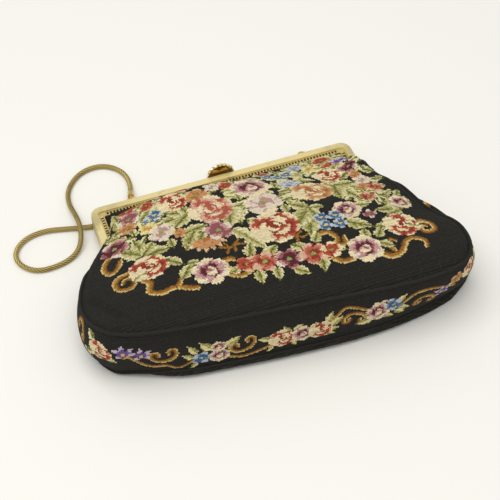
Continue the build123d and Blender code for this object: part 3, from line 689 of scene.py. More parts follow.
class Outline:
    """The bag's cut seen from the front, from the left end of the clasp frame round to the right."""

    WIDTH, HEIGHT = 238.0, 150.0
    NECK_HALF, NECK_TOP = 81.7, 8.3
    LEFT_SHARES = (
        (-0.773, 0.24), (-0.866, 0.34), (-0.95, 0.46), (-1.0, 0.613), (-0.992, 0.76), (-0.866, 0.857),
    )
    BOTTOM_SHARES = ((0.0, 0.94), (0.824, 1.0))
    RIGHT_SHARES = ((0.983, 0.893), (1.0, 0.753), (0.908, 0.533), (0.824, 0.347), (0.756, 0.233))
    NECK_DEPTHS = (25.0, 24.0)
    CURVE_PARTS = 24
    BATCH = 4000

    def __init__(self, step: float = 1.0) -> None:
        """Draw the outline as short pieces.

        Args:
            step: about how long each piece is.
        """
        shares = np.array(self.LEFT_SHARES + self.BOTTOM_SHARES + self.RIGHT_SHARES)
        body = shares * (self.WIDTH / 2, self.HEIGHT)
        half, top, (left, right) = self.NECK_HALF, self.NECK_TOP, self.NECK_DEPTHS
        marks = np.array([(-half, top), (-half, left), *body, (half, right), (half, top)])
        halves = (marks[1:] + marks[:-1]) / 2
        line = [marks[0]]
        for start, pull, end in zip(halves, marks[1:-1], halves[1:]):
            for t in np.arange(self.CURVE_PARTS) / self.CURVE_PARTS:
                line.append((1 - t) ** 2 * start + 2 * t * (1 - t) * pull + t**2 * end)
        line = np.array([*line, halves[-1], marks[-1]])
        reach = np.append(0, np.cumsum(np.hypot(*np.diff(line, axis=0).T)))
        length = float(reach[-1])
        self.stations = np.linspace(0, length, int(length / step) + 1)
        self.points = np.stack([np.interp(self.stations, reach, line[:, i]) for i in (0, 1)], axis=1)
        run = np.gradient(self.points, axis=0)
        run /= np.hypot(run[:, :1], run[:, 1:])
        self.outward = np.stack([-run[:, 1], run[:, 0]], axis=1)
        x, d = self.points.T
        self.area = 0.5 * abs(float(np.dot(x, np.roll(d, 1)) - np.dot(d, np.roll(x, 1))))

    def swell(self, x: float, d: float, reach: float) -> Array:
        """A soft swell of height 1 along the outline, round the point nearest to a place."""
        return np.exp(-(((self.stations - self.station(x, d)) / reach) ** 2))

    def swells(self, rows: Sequence[Petal]) -> Array:
        """The sum of swells that are given by x, depth, reach and height."""
        return sum(height * self.swell(x, d, reach) for x, d, reach, height in rows)

    def flat_size(self) -> Point:
        """The cloth's width and height when it is laid flat, in metres."""
        return self.WIDTH * MM, (self.HEIGHT - self.NECK_TOP) * MM

    def span(self, d: float) -> Point:
        """Find the ends of a row.

        Args:
            d: the row's depth.

        Returns:
            The x of its left and its right end.
        """
        x, depth = self.points.T
        low, high = np.minimum(depth[1:], depth[:-1]), np.maximum(depth[1:], depth[:-1])
        hit = np.flatnonzero((low <= d) & (high >= d) & (high > low))
        share = (d - depth[hit]) / (depth[hit + 1] - depth[hit])
        places = x[hit] + share * (x[hit + 1] - x[hit])
        return float(places.min()), float(places.max())

    def gaps(self, x: Array, d: Array) -> tuple[Array, Array]:
        """Measure from places to the outline.

        Args:
            x, d: places on the cloth.

        Returns:
            How far each place is from the outline, and the nearest outline point's number.
        """
        spots = np.stack([x.ravel(), d.ravel()], axis=1)
        gap, nearest = np.empty(len(spots)), np.empty(len(spots), int)
        for first in range(0, len(spots), self.BATCH):
            part = slice(first, first + self.BATCH)
            off = spots[part, None] - self.points
            far = np.hypot(off[..., 0], off[..., 1])
            nearest[part] = far.argmin(1)
            gap[part] = far.min(1)
        return gap.reshape(x.shape), nearest.reshape(x.shape)

    def station(self, x: float, d: float) -> float:
        """The length along the outline to the point nearest to a place."""
        return float(self.stations[np.hypot(*(self.points - (x, d)).T).argmin()])


def bvh(node: str) -> BVHTree:
    """Make a CAD node's solid ready for finding its surface.

    Args:
        node: the node's name.

    Returns:
        The solid's faces as a search tree.
    """
    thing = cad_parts[node]
    spots = [thing.matrix_world @ v.co for v in thing.data.vertices]
    return BVHTree.FromPolygons(spots, [tuple(p.vertices) for p in thing.data.polygons])


class BagForm:
    """The bag's soft shape: the CAD surfaces, rolled at the seams and a little uneven."""

    STRIP_FOOT = 13.3
    SEAM_ROLL, SEAM_DROP = 5.0, 2.5
    NECK_ROLL = 3.5
    BACK_SEAM, UNDER_RISE = 3.2, 4.6
    FOLD = (109, 88, 17)
    # Swells of the front's seam, outwards and upwards: x, depth, reach and height
    FRONT_SHIFTS = (
        (82.5, 22, 9, 5.5), (88, 32, 10, 1.6), (*FOLD, -3.4), (116, 128, 20, -4.0), (-114, 114, 20, -3.0),
    )
    FRONT_LIFTS = (
        (105, 142, 28, 3.0), (-108, 122, 30, 2.6), (83, 24, 9, 5.0), (88, 33, 9, 4.6), (96, 50, 15, 3.6),
        (*FOLD, -1.5),
    )
    LIFT_REACH = 34
    # How far the back's seam is let out, set to meet the photo's lower edge: x, depth and way out
    BACK_LETS = (
        (-100, 60, 0.0), (-118, 95, -2.5), (-112, 116, -4.6), (-100, 126, -3.0), (-84, 130, 2.0),
        (-67, 133, 5.0), (-8, 140, 5.0), (30, 144, 3.6), (56, 146, 0.6), (86, 147, -5.0),
        (99, 145, -7.4), (110, 139, -6.4), (116, 131, -2.0), (118, 122, 5.0), (117, 108, 6.0),
        (110, 86, 1.0), (100, 60, 0.0),
    )
    LET_REACH = 19
    BACK_REACH, PLAIN_REACH = 22, 11
    BACK_LOWEST = 0.15
    # Where the back starts to roll under and over what run it grows, by depth and by x
    UNDER_DEPTH, UNDER_DEPTH_RUN = 80, 40
    UNDER_X, UNDER_X_RUN = -116, 46
    ROLL_GAPS = (0.0, 2.5, 5.0, 8.0, 11.0, 15.0, 22.0, 30.0, 36.0)
    ROLL_IN = (2.6, 0.5, 0.2, 1.8, 4.6, 9.4, 18.5, 29.0, 36.0)
    ROLL_RISE = (1.0, 0.8, 0.45, 0.14, 0.03, 0.0, 0.0, 0.0, 0.0)
    INSET, INSET_REACH, MIDDLE_DEPTH = 3.0, 8, 75
    NECK_DEPTH, NECK_EDGE = 30, 11
    RIPPLE, RIPPLE_REACH = 0.35, 10
    # The crease at the left: its depth and half width, a place on it, its lean and its two ends
    CREASE, CREASE_HALF = -1.8, 3.2
    CREASE_X, CREASE_DEPTH, CREASE_LEAN = -106, 98, 0.5
    CREASE_FROM, CREASE_TO, CREASE_FADE = 76, 122, 12
    # Heights in metres that casts start from, and a height inside the bag
    ABOVE, BELOW, INSIDE = 0.2, -0.1, 0.03

    def __init__(self) -> None:
        """Take the outline and the two CAD panels."""
        self.outline = Outline()
        self.fold = self.outline.swell(*self.FOLD)
        self.front_shift = self.outline.swells(self.FRONT_SHIFTS)
        self.front_lift = self.outline.swells(self.FRONT_LIFTS)
        places = [self.outline.station(x, d) for x, d, _ in self.BACK_LETS]
        lets = np.interp(self.outline.stations, places, [let for _, _, let in self.BACK_LETS])
        soft = np.hanning(self.LET_REACH) / np.hanning(self.LET_REACH).sum()
        self.back_shift = np.convolve(np.pad(lets, self.LET_REACH, mode="edge"), soft, "same")
        self.back_shift = self.back_shift[self.LET_REACH : -self.LET_REACH]
        x, d = self.outline.points.T
        deep, side = (d - self.UNDER_DEPTH) / self.UNDER_DEPTH_RUN, (x - self.UNDER_X) / self.UNDER_X_RUN
        self.under = ease(deep) * ease(side)
        self.back_seam = self.back_shift - self.ROLL_IN[0] * self.under
        self.panels = {name: bvh(name) for name in ("front_panel", "back_panel")}

    def cast(self, panel: str, x: Array, d: Array, from_above: bool) -> Array:
        """Find a CAD panel's outer face.

        Args:
            panel: the panel's node.
            x, d: places on the cloth.
            from_above: whether the upper face is wanted, not the lower one.

        Returns:
            The face's height over each place.
        """
        tree, way = self.panels[panel], Vector((0, 0, -1 if from_above else 1))
        start, heights = (self.ABOVE if from_above else self.BELOW), np.empty(x.size)
        for i, (across, depth) in enumerate(zip(x.ravel(), d.ravel())):
            spot = Vector((across * MM, (FRAME_EDGE - depth) * MM, start))
            hit = tree.ray_cast(spot, way)[0]
            if hit is None:
                hit = tree.find_nearest(Vector((spot.x, spot.y, self.INSIDE if from_above else 0)))[0]
            heights[i] = hit.z / MM
        return heights.reshape(x.shape)

    def drawn(self, x: Array, d: Array, shift: Array, reach: float) -> Places:
        """Draw a panel's seam in, or let it out.

        Args:
            x, d: places on the cloth.
            shift: how far each outline point moves outwards.
            reach: how far in from the seam the cloth moves with it.

        Returns:
            The places after the move.
        """
        gap, nearest = self.outline.gaps(x, d)
        move = shift[nearest] * ease(1 - gap / reach)
        out = self.outline.outward[nearest]
        return x + move * out[..., 0], d + move * out[..., 1]

    def inset(self, x: Array, d: Array, gap: Array) -> Places:
        """Draw places in from the cut edge, so that the CAD surface is sure to be met.

        Args:
            x, d: places on the cloth.
            gap: how far each is from the outline.

        Returns:
            The places after the move.
        """
        pull = ease(1 - gap / self.INSET_REACH) * self.INSET
        down = d - self.MIDDLE_DEPTH
        middle = np.hypot(x, down)
        return x - pull * x / middle, d - pull * down / middle

    def crease(self, x: Array, d: Array) -> Array:
        """Press in the slanting crease at the left.

        Args:
            x, d: places on the cloth.

        Returns:
            The crease's height, which is below 0.
        """
        off = (x - self.CREASE_X - self.CREASE_LEAN * (d - self.CREASE_DEPTH)) / self.CREASE_HALF
        ends = (d - self.CREASE_FROM) / self.CREASE_FADE, (self.CREASE_TO - d) / self.CREASE_FADE
        return self.CREASE * np.exp(-(off**2)) * ease(ends[0]) * ease(ends[1])

    def front(self, x: Array, d: Array) -> Array:
        """Lay the front cloth over the CAD panel, rolled in at the neck and along the seam.

        Args:
            x, d: places on the cloth.

        Returns:
            The cloth's height at each place.
        """
        gap, nearest = self.outline.gaps(x, d)
        z = self.cast("front_panel", *self.inset(x, d, gap), True)
        neck = (self.outline.points[nearest, 1] < self.NECK_DEPTH) | (d < self.NECK_EDGE)
        top = np.minimum(gap, np.maximum(d - Outline.NECK_TOP, 0))
        tucked = self.STRIP_FOOT + (z - self.STRIP_FOOT) * ease(0.1 + 0.9 * top / self.NECK_ROLL)
        rolled = z - self.SEAM_DROP * np.clip(1 - gap / self.SEAM_ROLL, 0, 1) ** 2
        z = np.where(neck & (gap < self.NECK_ROLL), tucked, rolled)
        ripple = self.RIPPLE * np.sin(x / 17 + d / 29) * np.sin(d / 13 - x / 41)
        lift = self.front_lift[nearest] * ease(1 - gap / self.LIFT_REACH)
        return z + lift + (ripple + self.crease(x, d)) * ease(gap / self.RIPPLE_REACH)

    def back(self, x: Array, d: Array) -> Array:
        """Lay the back cloth under the CAD panel, raised to the seam at its edges.

        Args:
            x, d: places on the cloth.

        Returns:
            The cloth's height at each place.
        """
        gap, nearest = self.outline.gaps(x, d)
        z = np.maximum(self.cast("back_panel", *self.inset(x, d, gap), False), self.BACK_LOWEST)
        plain = self.BACK_SEAM * np.clip(1 - gap / self.PLAIN_REACH, 0, 1) ** 2 * ease((d - 40) / 20)
        rolled = (self.BACK_SEAM + self.UNDER_RISE) * np.interp(gap, self.ROLL_GAPS, self.ROLL_RISE)
        under = self.under[nearest]
        return z + plain * (1 - under) + rolled * under

    def rolled(self, x: Array, d: Array) -> Places:
        """Roll the back out a little beyond its own seam along the bottom.

        Args:
            x, d: places on the cloth.

        Returns:
            The places after the move.
        """
        gap, nearest = self.outline.gaps(x, d)
        move = (gap - np.interp(gap, self.ROLL_GAPS, self.ROLL_IN)) * (gap < self.ROLL_GAPS[-1])
        move = move * self.under[nearest] + self.back_shift[nearest] * ease(1 - gap / self.BACK_REACH)
        out = self.outline.outward[nearest]
        return x + move * out[..., 0], d + move * out[..., 1]


def in_scene(name: str, data: bpy.types.ID) -> Thing:
    """Put a new object in the scene.

    Args:
        name: the object's name.
        data: its mesh, curve, lamp or camera.

    Returns:
        The object, at the origin.
    """
    thing = bpy.data.objects.new(name, data)
    bpy.context.scene.collection.objects.link(thing)
    return thing


def mesh_object(
    name: str, spots: Array, faces: Sequence[Sequence[int]], smooth: bool = True
) -> Thing:
    """A mesh in the scene.

    Args:
        name: the piece's name.
        spots: rows of x, y and z in millimetres.
        faces: the corners of each face.
        smooth: whether the faces are shaded as one soft surface.

    Returns:
        The new object, at the origin.
    """
    mesh = bpy.data.meshes.new(name)
    mesh.from_pydata((np.asarray(spots) * MM).tolist(), [], faces)
    mesh.polygons.foreach_set("use_smooth", np.full(len(faces), smooth))
    return in_scene(name, mesh)


def tube_faces(rings: int, sides: int) -> list[tuple[int, ...]]:
    """Close a row of rings to a tube.

    Args:
        rings: how many rings there are.
        sides: how many spots each ring has.

    Returns:
        The four corners of each face.
    """
    faces = []
    for ring in range(rings - 1):
        for i in range(sides):
            a, b = ring * sides + i, ring * sides + (i + 1) % sides
            faces.append((a, b, b + sides, a + sides))
    return faces


def stitch_middles(knots: Array) -> Array:
    """The mean of the four knots round each stitch."""
    return (knots[1:, 1:] + knots[1:, :-1] + knots[:-1, 1:] + knots[:-1, :-1]) / 4


class StitchedCloth:
    """Cloth made of rows of stitches, each of them one face with its own colour."""

    def __init__(self, spots: Array, marks: Array, doubles: Array | None = None) -> None:
        """Number the net's knots.

        Args:
            spots: x, y and z of each knot, by row and column.
            marks: the stitch count across and down at each knot.
            doubles: the knots that repeat the one before in their row.
        """
        self.spots, self.marks = spots, marks
        self.fresh = np.ones(spots.shape[:2], bool) if doubles is None else ~doubles
        self.fresh[:, 0] = True
        self.numbers = (np.cumsum(self.fresh) - 1).reshape(self.fresh.shape)

    def build(self, name: str, colour: Array, outward: bool = True) -> Thing:
        """Make the mesh.

        Args:
            name: the piece's name.
            colour: linear red, green and blue of each stitch.
            outward: whether the faces keep the rows' own turn, or are turned over.

        Returns:
            The mesh object with its "wool" colours and "stitches" map.
        """
        n = self.numbers
        corners = np.stack([n[1:, :-1], n[1:, 1:], n[:-1, 1:], n[:-1, :-1]], axis=2)
        if not outward:
            corners = corners[..., ::-1]
        faces, shades = [], []
        for row in range(corners.shape[0]):
            for column in range(corners.shape[1]):
                face = list(dict.fromkeys(corners[row, column].tolist()))
                if len(face) > 2:
                    faces.append(face)
                    shades.append(colour[row, column])
        thing = mesh_object(name, self.spots[self.fresh], faces)
        mesh, marks = thing.data, self.marks[self.fresh]
        loops = np.empty(len(mesh.loops), int)
        mesh.loops.foreach_get("vertex_index", loops)
        counts = [len(face) for face in faces]
        wool = mesh.color_attributes.new("wool", "FLOAT_COLOR", "CORNER")
        shade = np.repeat(np.array(shades), counts, axis=0)
        wool.data.foreach_set("color", np.c_[shade, np.ones(len(shade))].ravel())
        chart = mesh.uv_layers.new(name="stitches")
        chart.data.foreach_set("uv", marks[loops].ravel())
        return thing


class CutPanel:
    """A panel cut to the bag's outline and worked in rows of stitches."""

    TOP_MARGIN, FOOT_MARGIN = 0.01, 0.06

    def __init__(self, form: BagForm, stitch: float) -> None:
        """Count the rows and columns.

        Args:
            form: the bag's shape.
            stitch: one stitch's width.
        """
        self.form, self.stitch = form, stitch
        outline = form.outline
        low = outline.points[:, 1].min() + self.TOP_MARGIN
        high = outline.points[:, 1].max() - self.FOOT_MARGIN
        rows = np.append(np.arange(low, high, stitch), high)
        columns = np.arange(outline.points[:, 0].min(), outline.points[:, 0].max() + stitch, stitch)
        spans = np.array([outline.span(d) for d in rows])
        self.x = np.clip(columns[None], spans[:, :1], spans[:, 1:])
        self.d = np.repeat(rows[:, None], len(columns), axis=1)
        self.doubles = np.zeros(self.x.shape, bool)
        self.doubles[:, 1:] = self.x[:, 1:] == self.x[:, :-1]

    def draw(self, shift: Array) -> None:
        """Draw the panel's edge in, or let it out, by shift."""
        self.x, self.d = self.form.drawn(self.x, self.d, shift, self.form.BACK_REACH)

    def chart(self, seed: int) -> Chart:
        """An unworked chart with a place for each stitch."""
        d = (self.d[1:, 1:] + self.d[:-1, 1:]) / 2
        return Chart(stitch_middles(self.x), d, seed)

    def build(self, name: str, height: Array, colour: Array, outward: bool) -> Thing:
        """Make the panel.

        Args:
            name: the piece's name.
            height: the height of each knot.
            colour: linear red, green and blue of each stitch.
            outward: whether the faces keep the rows' own turn, or are turned over.

        Returns:
            The panel as a mesh object.
        """
        spots = np.stack([self.x, FRAME_EDGE - self.d, height], axis=2)
        marks = np.stack([self.x, -self.d], axis=2) / self.stitch
        return StitchedCloth(spots, marks, self.doubles).build(name, colour, outward)


class Board:
    """A shorthand for laying out nodes."""

    def __init__(self, tree: bpy.types.NodeTree) -> None:
        """Take a node tree."""
        self.tree = tree

    def feed(self, socket: Socket, value: object) -> None:
        """Link a socket to another, or set its value.

        Args:
            socket: the socket to feed.
            value: another socket, or the value.
        """
        if isinstance(value, Socket):
            self.tree.links.new(value, socket)
        else:
            socket.default_value = value

    def node(self, kind: str, inputs: dict | None = None, **settings: object) -> bpy.types.Node:
        """Add a node.

        Args:
            kind: the node's type.
            inputs: values or links by socket name or number.
            settings: the node's own options.

        Returns:
            The node.
        """
        node = self.tree.nodes.new(kind)
        for name, value in settings.items():
            setattr(node, name, value)
        for key, value in (inputs or {}).items():
            self.feed(node.inputs[key], value)
        return node

    def math(self, operation: str, *values: object) -> Socket:
        """Arithmetic on values or links."""
        return self.node("ShaderNodeMath", dict(enumerate(values)), operation=operation).outputs[0]

    def mix(self, share: object, first: object, second: object) -> Socket:
        """A colour between two."""
        node = self.node("ShaderNodeMix", {0: share, 6: first, 7: second}, data_type="RGBA")
        return node.outputs[2]

    def ramp(self, value: object, low: float, high: float) -> Socket:
        """A value spread from 0 at low to 1 at high."""
        node = self.node("ShaderNodeMapRange", {0: value, 1: low, 2: high}, interpolation_type="SMOOTHSTEP")
        return node.outputs[0]

    def noise(self, scale: Sequence[float], detail: float = 3.0) -> Socket:
        """Lay noise over the object.

        Args:
            scale: how fine it is along each axis.
            detail: how many finer layers it has.

        Returns:
            The noise.
        """
        place = self.node("ShaderNodeTexCoord").outputs["Object"]
        spread = self.node("ShaderNodeMapping", {"Vector": place, "Scale": tuple(scale)}).outputs[0]
        return self.node("ShaderNodeTexNoise", {"Vector": spread, "Scale": 1.0, "Detail": detail}).outputs[0]

    def bump(self, height: object, strength: float, depth: float) -> Socket:
        """A surface roughened by a height."""
        node = self.node("ShaderNodeBump", {"Height": height, "Strength": strength, "Distance": depth})
        return node.outputs[0]


def rgba(colour: str) -> tuple[float, ...]:
    """A written colour as a socket value."""
    return (*linear(colour), 1.0)


@dataclass(frozen=True)
class Finish:
    """How a piece's surface looks."""

    name: str

    def lay(self, board: Board, shader: bpy.types.Node) -> None:
        """Feed the shader."""
        raise NotImplementedError

    def material(self) -> bpy.types.Material:
        """Make the finish once.

        Returns:
            The finish as a material.
        """
        known = bpy.data.materials.get(self.name)
        if known:
            return known
        material = bpy.data.materials.new(self.name)
        material.use_nodes = True
        shader = material.node_tree.nodes["Principled BSDF"]
        self.lay(Board(material.node_tree), shader)
        return material

    def put_on(self, *things: Thing) -> None:
        """Give pieces this finish alone.

        Args:
            things: the pieces.
        """
        for thing in things:
            thing.data.materials.clear()
            thing.data.materials.append(self.material())


@dataclass(frozen=True)
class Needlework(Finish):
    """Tent stitches in the wool colours of the chart."""

    relief: float = 0.9
    roughness: float = 0.9
    canvas_rows: float = 0.55

    def lay(self, board: Board, shader: bpy.types.Node) -> None:
        """Shade each stitch as a slanted rib in its row, with painted shade between the rows, painted
        highlight on each rib and painted shade along the ground's coarser rows.

        Args:
            board: the material\'s nodes.
            shader: the node to feed.
        """
        place = board.node("ShaderNodeUVMap", uv_map="stitches").outputs[0]
        split = board.node("ShaderNodeSeparateXYZ", {0: place}).outputs
        rib = board.math("ABSOLUTE", board.math("MULTIPLY_ADD", board.math("FRACT", split[1]), 2.0, -1.0))
        row = board.math("SUBTRACT", 1.0, board.math("POWER", rib, 3.0))
        slant = board.math("MULTIPLY", board.math("ADD", split[0], split[1]), 2 * math.pi)
        stitch = board.math("MULTIPLY_ADD", board.math("COSINE", slant), 0.24, 0.76)
        height = board.math("MULTIPLY", row, stitch)
        wool = board.node("ShaderNodeAttribute", attribute_name="wool").outputs["Color"]
        tone = board.node("ShaderNodeRGBToBW", {0: wool}).outputs[0]
        ground = board.math("SUBTRACT", 1.0, board.ramp(tone, 0.03, 0.07))
        # painted shade and light in bands along the ground's coarser rows, on the dark wools only
        canvas = board.math("FRACT", board.math("MULTIPLY", split[1], self.canvas_rows))
        line = board.math("ABSOLUTE", board.math("MULTIPLY_ADD", canvas, 2.0, -1.0))
        row_shade = board.math("MULTIPLY", ground, board.math("MULTIPLY_ADD", line, 0.44, -0.22))
        # painted shade and highlight: the wool colour is scaled down between the rows and up on each rib
        depth = board.math("ADD", board.math("MULTIPLY_ADD", height, 0.8, 0.5), row_shade)
        shaded = board.node("ShaderNodeVectorMath", {0: wool, "Scale": depth}, operation="SCALE").outputs[0]
        board.feed(shader.inputs["Base Color"], shaded)
        board.feed(shader.inputs["Roughness"], self.roughness)
        board.feed(shader.inputs["Specular IOR Level"], 0.22)
        board.feed(shader.inputs["Normal"], board.bump(height, self.relief, 0.0005))


@dataclass(frozen=True)
class Wove(Finish):
    """Plain cloth with a fine weave or rib."""

    colour: str = Wool.GROUND.value
    # the lighter colour is painted highlight on the raised threads
    light: str = Wool.PAINTED_GLINT.value
    roughness: float = 0.9
    ribs: float = 1100.0
    relief: float = 0.4
    sheen: float = 0.0

    def lay(self, board: Board, shader: bpy.types.Node) -> None:
        """Mix in the lighter colour where the threads stand highest, as painted highlight on them, and
        roughen the surface.

        Args:
            board: the material\'s nodes.
            shader: the node to feed.
        """
        threads = board.noise((self.ribs, self.ribs, self.ribs), 2.0)
        weave = board.mix(board.ramp(threads, 0.5, 0.85), rgba(self.colour), rgba(self.light))
        board.feed(shader.inputs["Base Color"], weave)
        board.feed(shader.inputs["Roughness"], self.roughness)
        board.feed(shader.inputs["Specular IOR Level"], 0.25)
        board.feed(shader.inputs["Sheen Weight"], self.sheen)
        board.feed(shader.inputs["Normal"], board.bump(threads, self.relief, 0.0004))


@dataclass(frozen=True)
class Metal(Finish):
    """Worn metal with fine brush lines and dull spots."""

    colour: str = "#fdeaa8"
    dull: str = "#b3a678"
    roughness: float = 0.38
    spots: float = 0.58
    metallic: float = 0.5
    brush: tuple[float, float, float] = (90.0, 2200.0, 900.0)
    # how much duller the metal gets, in clouds, towards both ends
    end_dulling: float = 0.0

    def lay(self, board: Board, shader: bpy.types.Node) -> None:
        """Mix bright and dull metal, with the brush lines as a slight relief.

        Args:
            board: the material\'s nodes.
            shader: the node to feed.
        """
        lines = board.noise(self.brush, 2.0)
        wear = board.ramp(board.noise((130, 130, 130), 5.0), self.spots, self.spots + 0.2)
        # duller metal in clouds towards both ends of the frame
        if self.end_dulling:
            place = board.node("ShaderNodeTexCoord").outputs["Object"]
            along = board.math("ABSOLUTE", board.node("ShaderNodeSeparateXYZ", {0: place}).outputs[0])
            cloud = board.ramp(board.noise((55, 55, 55), 4.0), 0.38, 0.62)
            ends = board.math("MULTIPLY", board.ramp(along, 0.05, 0.088), cloud)
            wear = board.math("MAXIMUM", wear, board.math("MULTIPLY", ends, self.end_dulling))
        bright = board.mix(board.math("MULTIPLY", lines, 0.35), rgba(self.colour), rgba(self.dull))
        board.feed(shader.inputs["Base Color"], board.mix(wear, bright, rgba(self.dull)))
        board.feed(shader.inputs["Metallic"], self.metallic)
        board.feed(shader.inputs["Roughness"], board.math("MULTIPLY_ADD", wear, 0.18, self.roughness))
        board.feed(shader.inputs["Normal"], board.bump(lines, 0.08, 0.0002))


@dataclass(frozen=True)
class ScaledMetal(Metal):
    """Metal darkened in its grooves as painted shade, wherever a piece carries a value for it."""

    # the colour of the painted shade in the grooves
    dark: str = "#6b5a2c"

    def lay(self, board: Board, shader: bpy.types.Node) -> None:
        """Darken the grooves as painted shade.

        Args:
            board: the material\'s nodes.
            shader: the node to feed.
        """
        super().lay(board, shader)
        painted_groove_shade = board.node("ShaderNodeAttribute", attribute_name="painted_groove_shade").outputs["Fac"]
        bright = shader.inputs["Base Color"].links[0].from_socket
        scaled = board.mix(board.ramp(painted_groove_shade, 0.05, 0.7), bright, rgba(self.dark))
        board.feed(shader.inputs["Base Color"], scaled)


@dataclass(frozen=True)
class CutStone(Finish):
    """Foil-backed paste stones."""

    # painted reflection of the pale room and painted shade, in place of clear stones over foil
    colour: str = "#fdf6e2"
    depth: str = "#c7a866"

    def lay(self, board: Board, shader: bpy.types.Node) -> None:
        """A near-white painted reflection of the pale room, clouded with a darker gold as painted shade from
        stone to stone.

        Args:
            board: the material\'s nodes.
            shader: the node to feed.
        """
        cloud = board.ramp(board.noise((420, 420, 420), 1.0), 0.42, 0.62)
        board.feed(shader.inputs["Base Color"], board.mix(cloud, rgba(self.colour), rgba(self.depth)))
        board.feed(shader.inputs["Metallic"], 0.35)
        board.feed(shader.inputs["Roughness"], 0.12)
        board.feed(shader.inputs["Coat Weight"], 0.6)


PETIT_POINT = Needlework("petit_point")
BLACK_WOOL = Wove("black_wool", "#24231f", "#34332e")
BLACK_SATIN = Wove("black_satin", "#1a191b", "#2d2b2f", 0.42, 700.0, 0.12, 0.2)
FRAME_GOLD = Metal("frame_gold", end_dulling=0.75)
STRIP_GOLD = Metal("strip_gold", "#e2cb84", "#8a7746", 0.28, 0.55)
# painted shade: the clasp's gold is a darker copy, for the shade in the dome's hollow
SHADED_CLASP_GOLD = Metal("clasp_gold_painted_shade", "#d8bd78", "#a98f56", 0.28, 0.66, 0.65, (400.0, 400.0, 400.0))
# painted highlight: the claw has a brighter copy of the clasp's gold
LIT_CLAW_GOLD = Metal("claw_gold_painted_highlight", "#f2c75a", "#c79a3c", 0.24, 0.66, 0.4, (400.0, 400.0, 400.0))
# brass, with painted shade in the chain's grooves
BRASS = ScaledMetal("brass_painted_groove_shade", "#d8c177", "#8f7b45", 0.3, 0.55, 0.6, (700.0, 700.0, 700.0))
PASTE = CutStone("paste_stones")


class NodeWork:
    """A Geometry Nodes tree with named inputs, run once on a host mesh."""

    def __init__(self, name: str, inputs: dict[str, str]) -> None:
        """Start a tree.

        Args:
            name: the tree's name.
            inputs: the socket type of each named input.
        """
        self.tree = bpy.data.node_groups.new(name, "GeometryNodeTree")
        face = self.tree.interface
        face.new_socket("Geometry", in_out="INPUT", socket_type="NodeSocketGeometry")
        for label, kind in {**inputs, "Finish": "NodeSocketMaterial"}.items():
            face.new_socket(label, in_out="INPUT", socket_type=kind)
        face.new_socket("Geometry", in_out="OUTPUT", socket_type="NodeSocketGeometry")
        self.board = Board(self.tree)
        self.given = self.board.node("NodeGroupInput").outputs

    def close(self, geometry: Socket) -> None:
        """End the tree with real geometry in the given finish.

        Args:
            geometry: what the tree has made so far.
        """
        real = self.board.node("GeometryNodeRealizeInstances", {0: geometry}).outputs[0]
        done = self.board.node(
            "GeometryNodeSetMaterial", {"Geometry": real, "Material": self.given["Finish"]}
        ).outputs[0]
        self.board.node("NodeGroupOutput", {0: done})

    def run(self, host: Thing, name: str, finish: Finish, **values: object) -> Thing:
        """Run the tree on a host, which is then removed.

        Args:
            host: the mesh that the tree starts from.
            name: the new piece's name.
            finish: the new piece's finish.
            values: the tree's other inputs, by name.

        Returns:
            The result as a plain mesh object.
        """
        modifier = host.modifiers.new(name, "NODES")
        modifier.node_group = self.tree
        given = {**values, "Finish": finish.material()}
        for item in self.tree.interface.items_tree:
            if item.in_out == "INPUT" and item.name in given:
                modifier[item.identifier] = given[item.name]
        layer = bpy.context.evaluated_depsgraph_get()
        mesh = bpy.data.meshes.new_from_object(host.evaluated_get(layer), depsgraph=layer)
        mesh.name = name
        host.modifiers.clear()
        bpy.data.objects.remove(host)
        thing = in_scene(name, mesh)
        finish.put_on(thing)
        return thing


def line_object(name: str, spots: Array) -> Thing:
    """Make a host mesh that is one line.

    Args:
        name: the host's name.
        spots: rows of x, y and z on the line, in millimetres.

    Returns:
        The host.
    """
    mesh = bpy.data.meshes.new(name)
    mesh.from_pydata((np.asarray(spots) * MM).tolist(), [(i, i + 1) for i in range(len(spots) - 1)], [])
    return in_scene(name, mesh)


def piped_seam() -> NodeWork:
    """Build a tree that runs a round cord along a line.

    Returns:
        The tree.
    """
    work = NodeWork("piped_seam", {"Radius": "NodeSocketFloat", "Step": "NodeSocketFloat"})
    board, given = work.board, work.given
    line = board.node("GeometryNodeMeshToCurve", {0: given["Geometry"]}).outputs[0]
    even = board.node("GeometryNodeResampleCurve", {"Curve": line, "Length": given["Step"]}, mode="LENGTH")
    ring = board.node("GeometryNodeCurvePrimitiveCircle", {"Resolution": 10, "Radius": given["Radius"]})
    tube = board.node(
        "GeometryNodeCurveToMesh",
        {"Curve": even.outputs[0], "Profile Curve": ring.outputs[0], "Fill Caps": True},
    )
    work.close(tube.outputs[0])
    return work


def pieces_at_marks() -> NodeWork:
    """Build a tree that sets a piece on each mark of the host, its x axis along the mark's facing.

    Returns:
        The tree.
    """
    work = NodeWork("pieces_at_marks", {"Piece": "NodeSocketObject"})
    board, given = work.board, work.given
    marks = board.node("GeometryNodeMeshToPoints", {0: given["Geometry"]}).outputs[0]
    facing = board.node("GeometryNodeInputNamedAttribute", {"Name": "facing"}, data_type="FLOAT_VECTOR")
    turn = board.node("FunctionNodeAlignRotationToVector", {"Vector": facing.outputs[0]}, axis="X")
    piece = board.node("GeometryNodeObjectInfo", {"Object": given["Piece"]})
    placed = board.node(
        "GeometryNodeInstanceOnPoints",
        {"Points": marks, "Instance": piece.outputs["Geometry"], "Rotation": turn.outputs[0]},
    )
    work.close(placed.outputs[0])
    return work


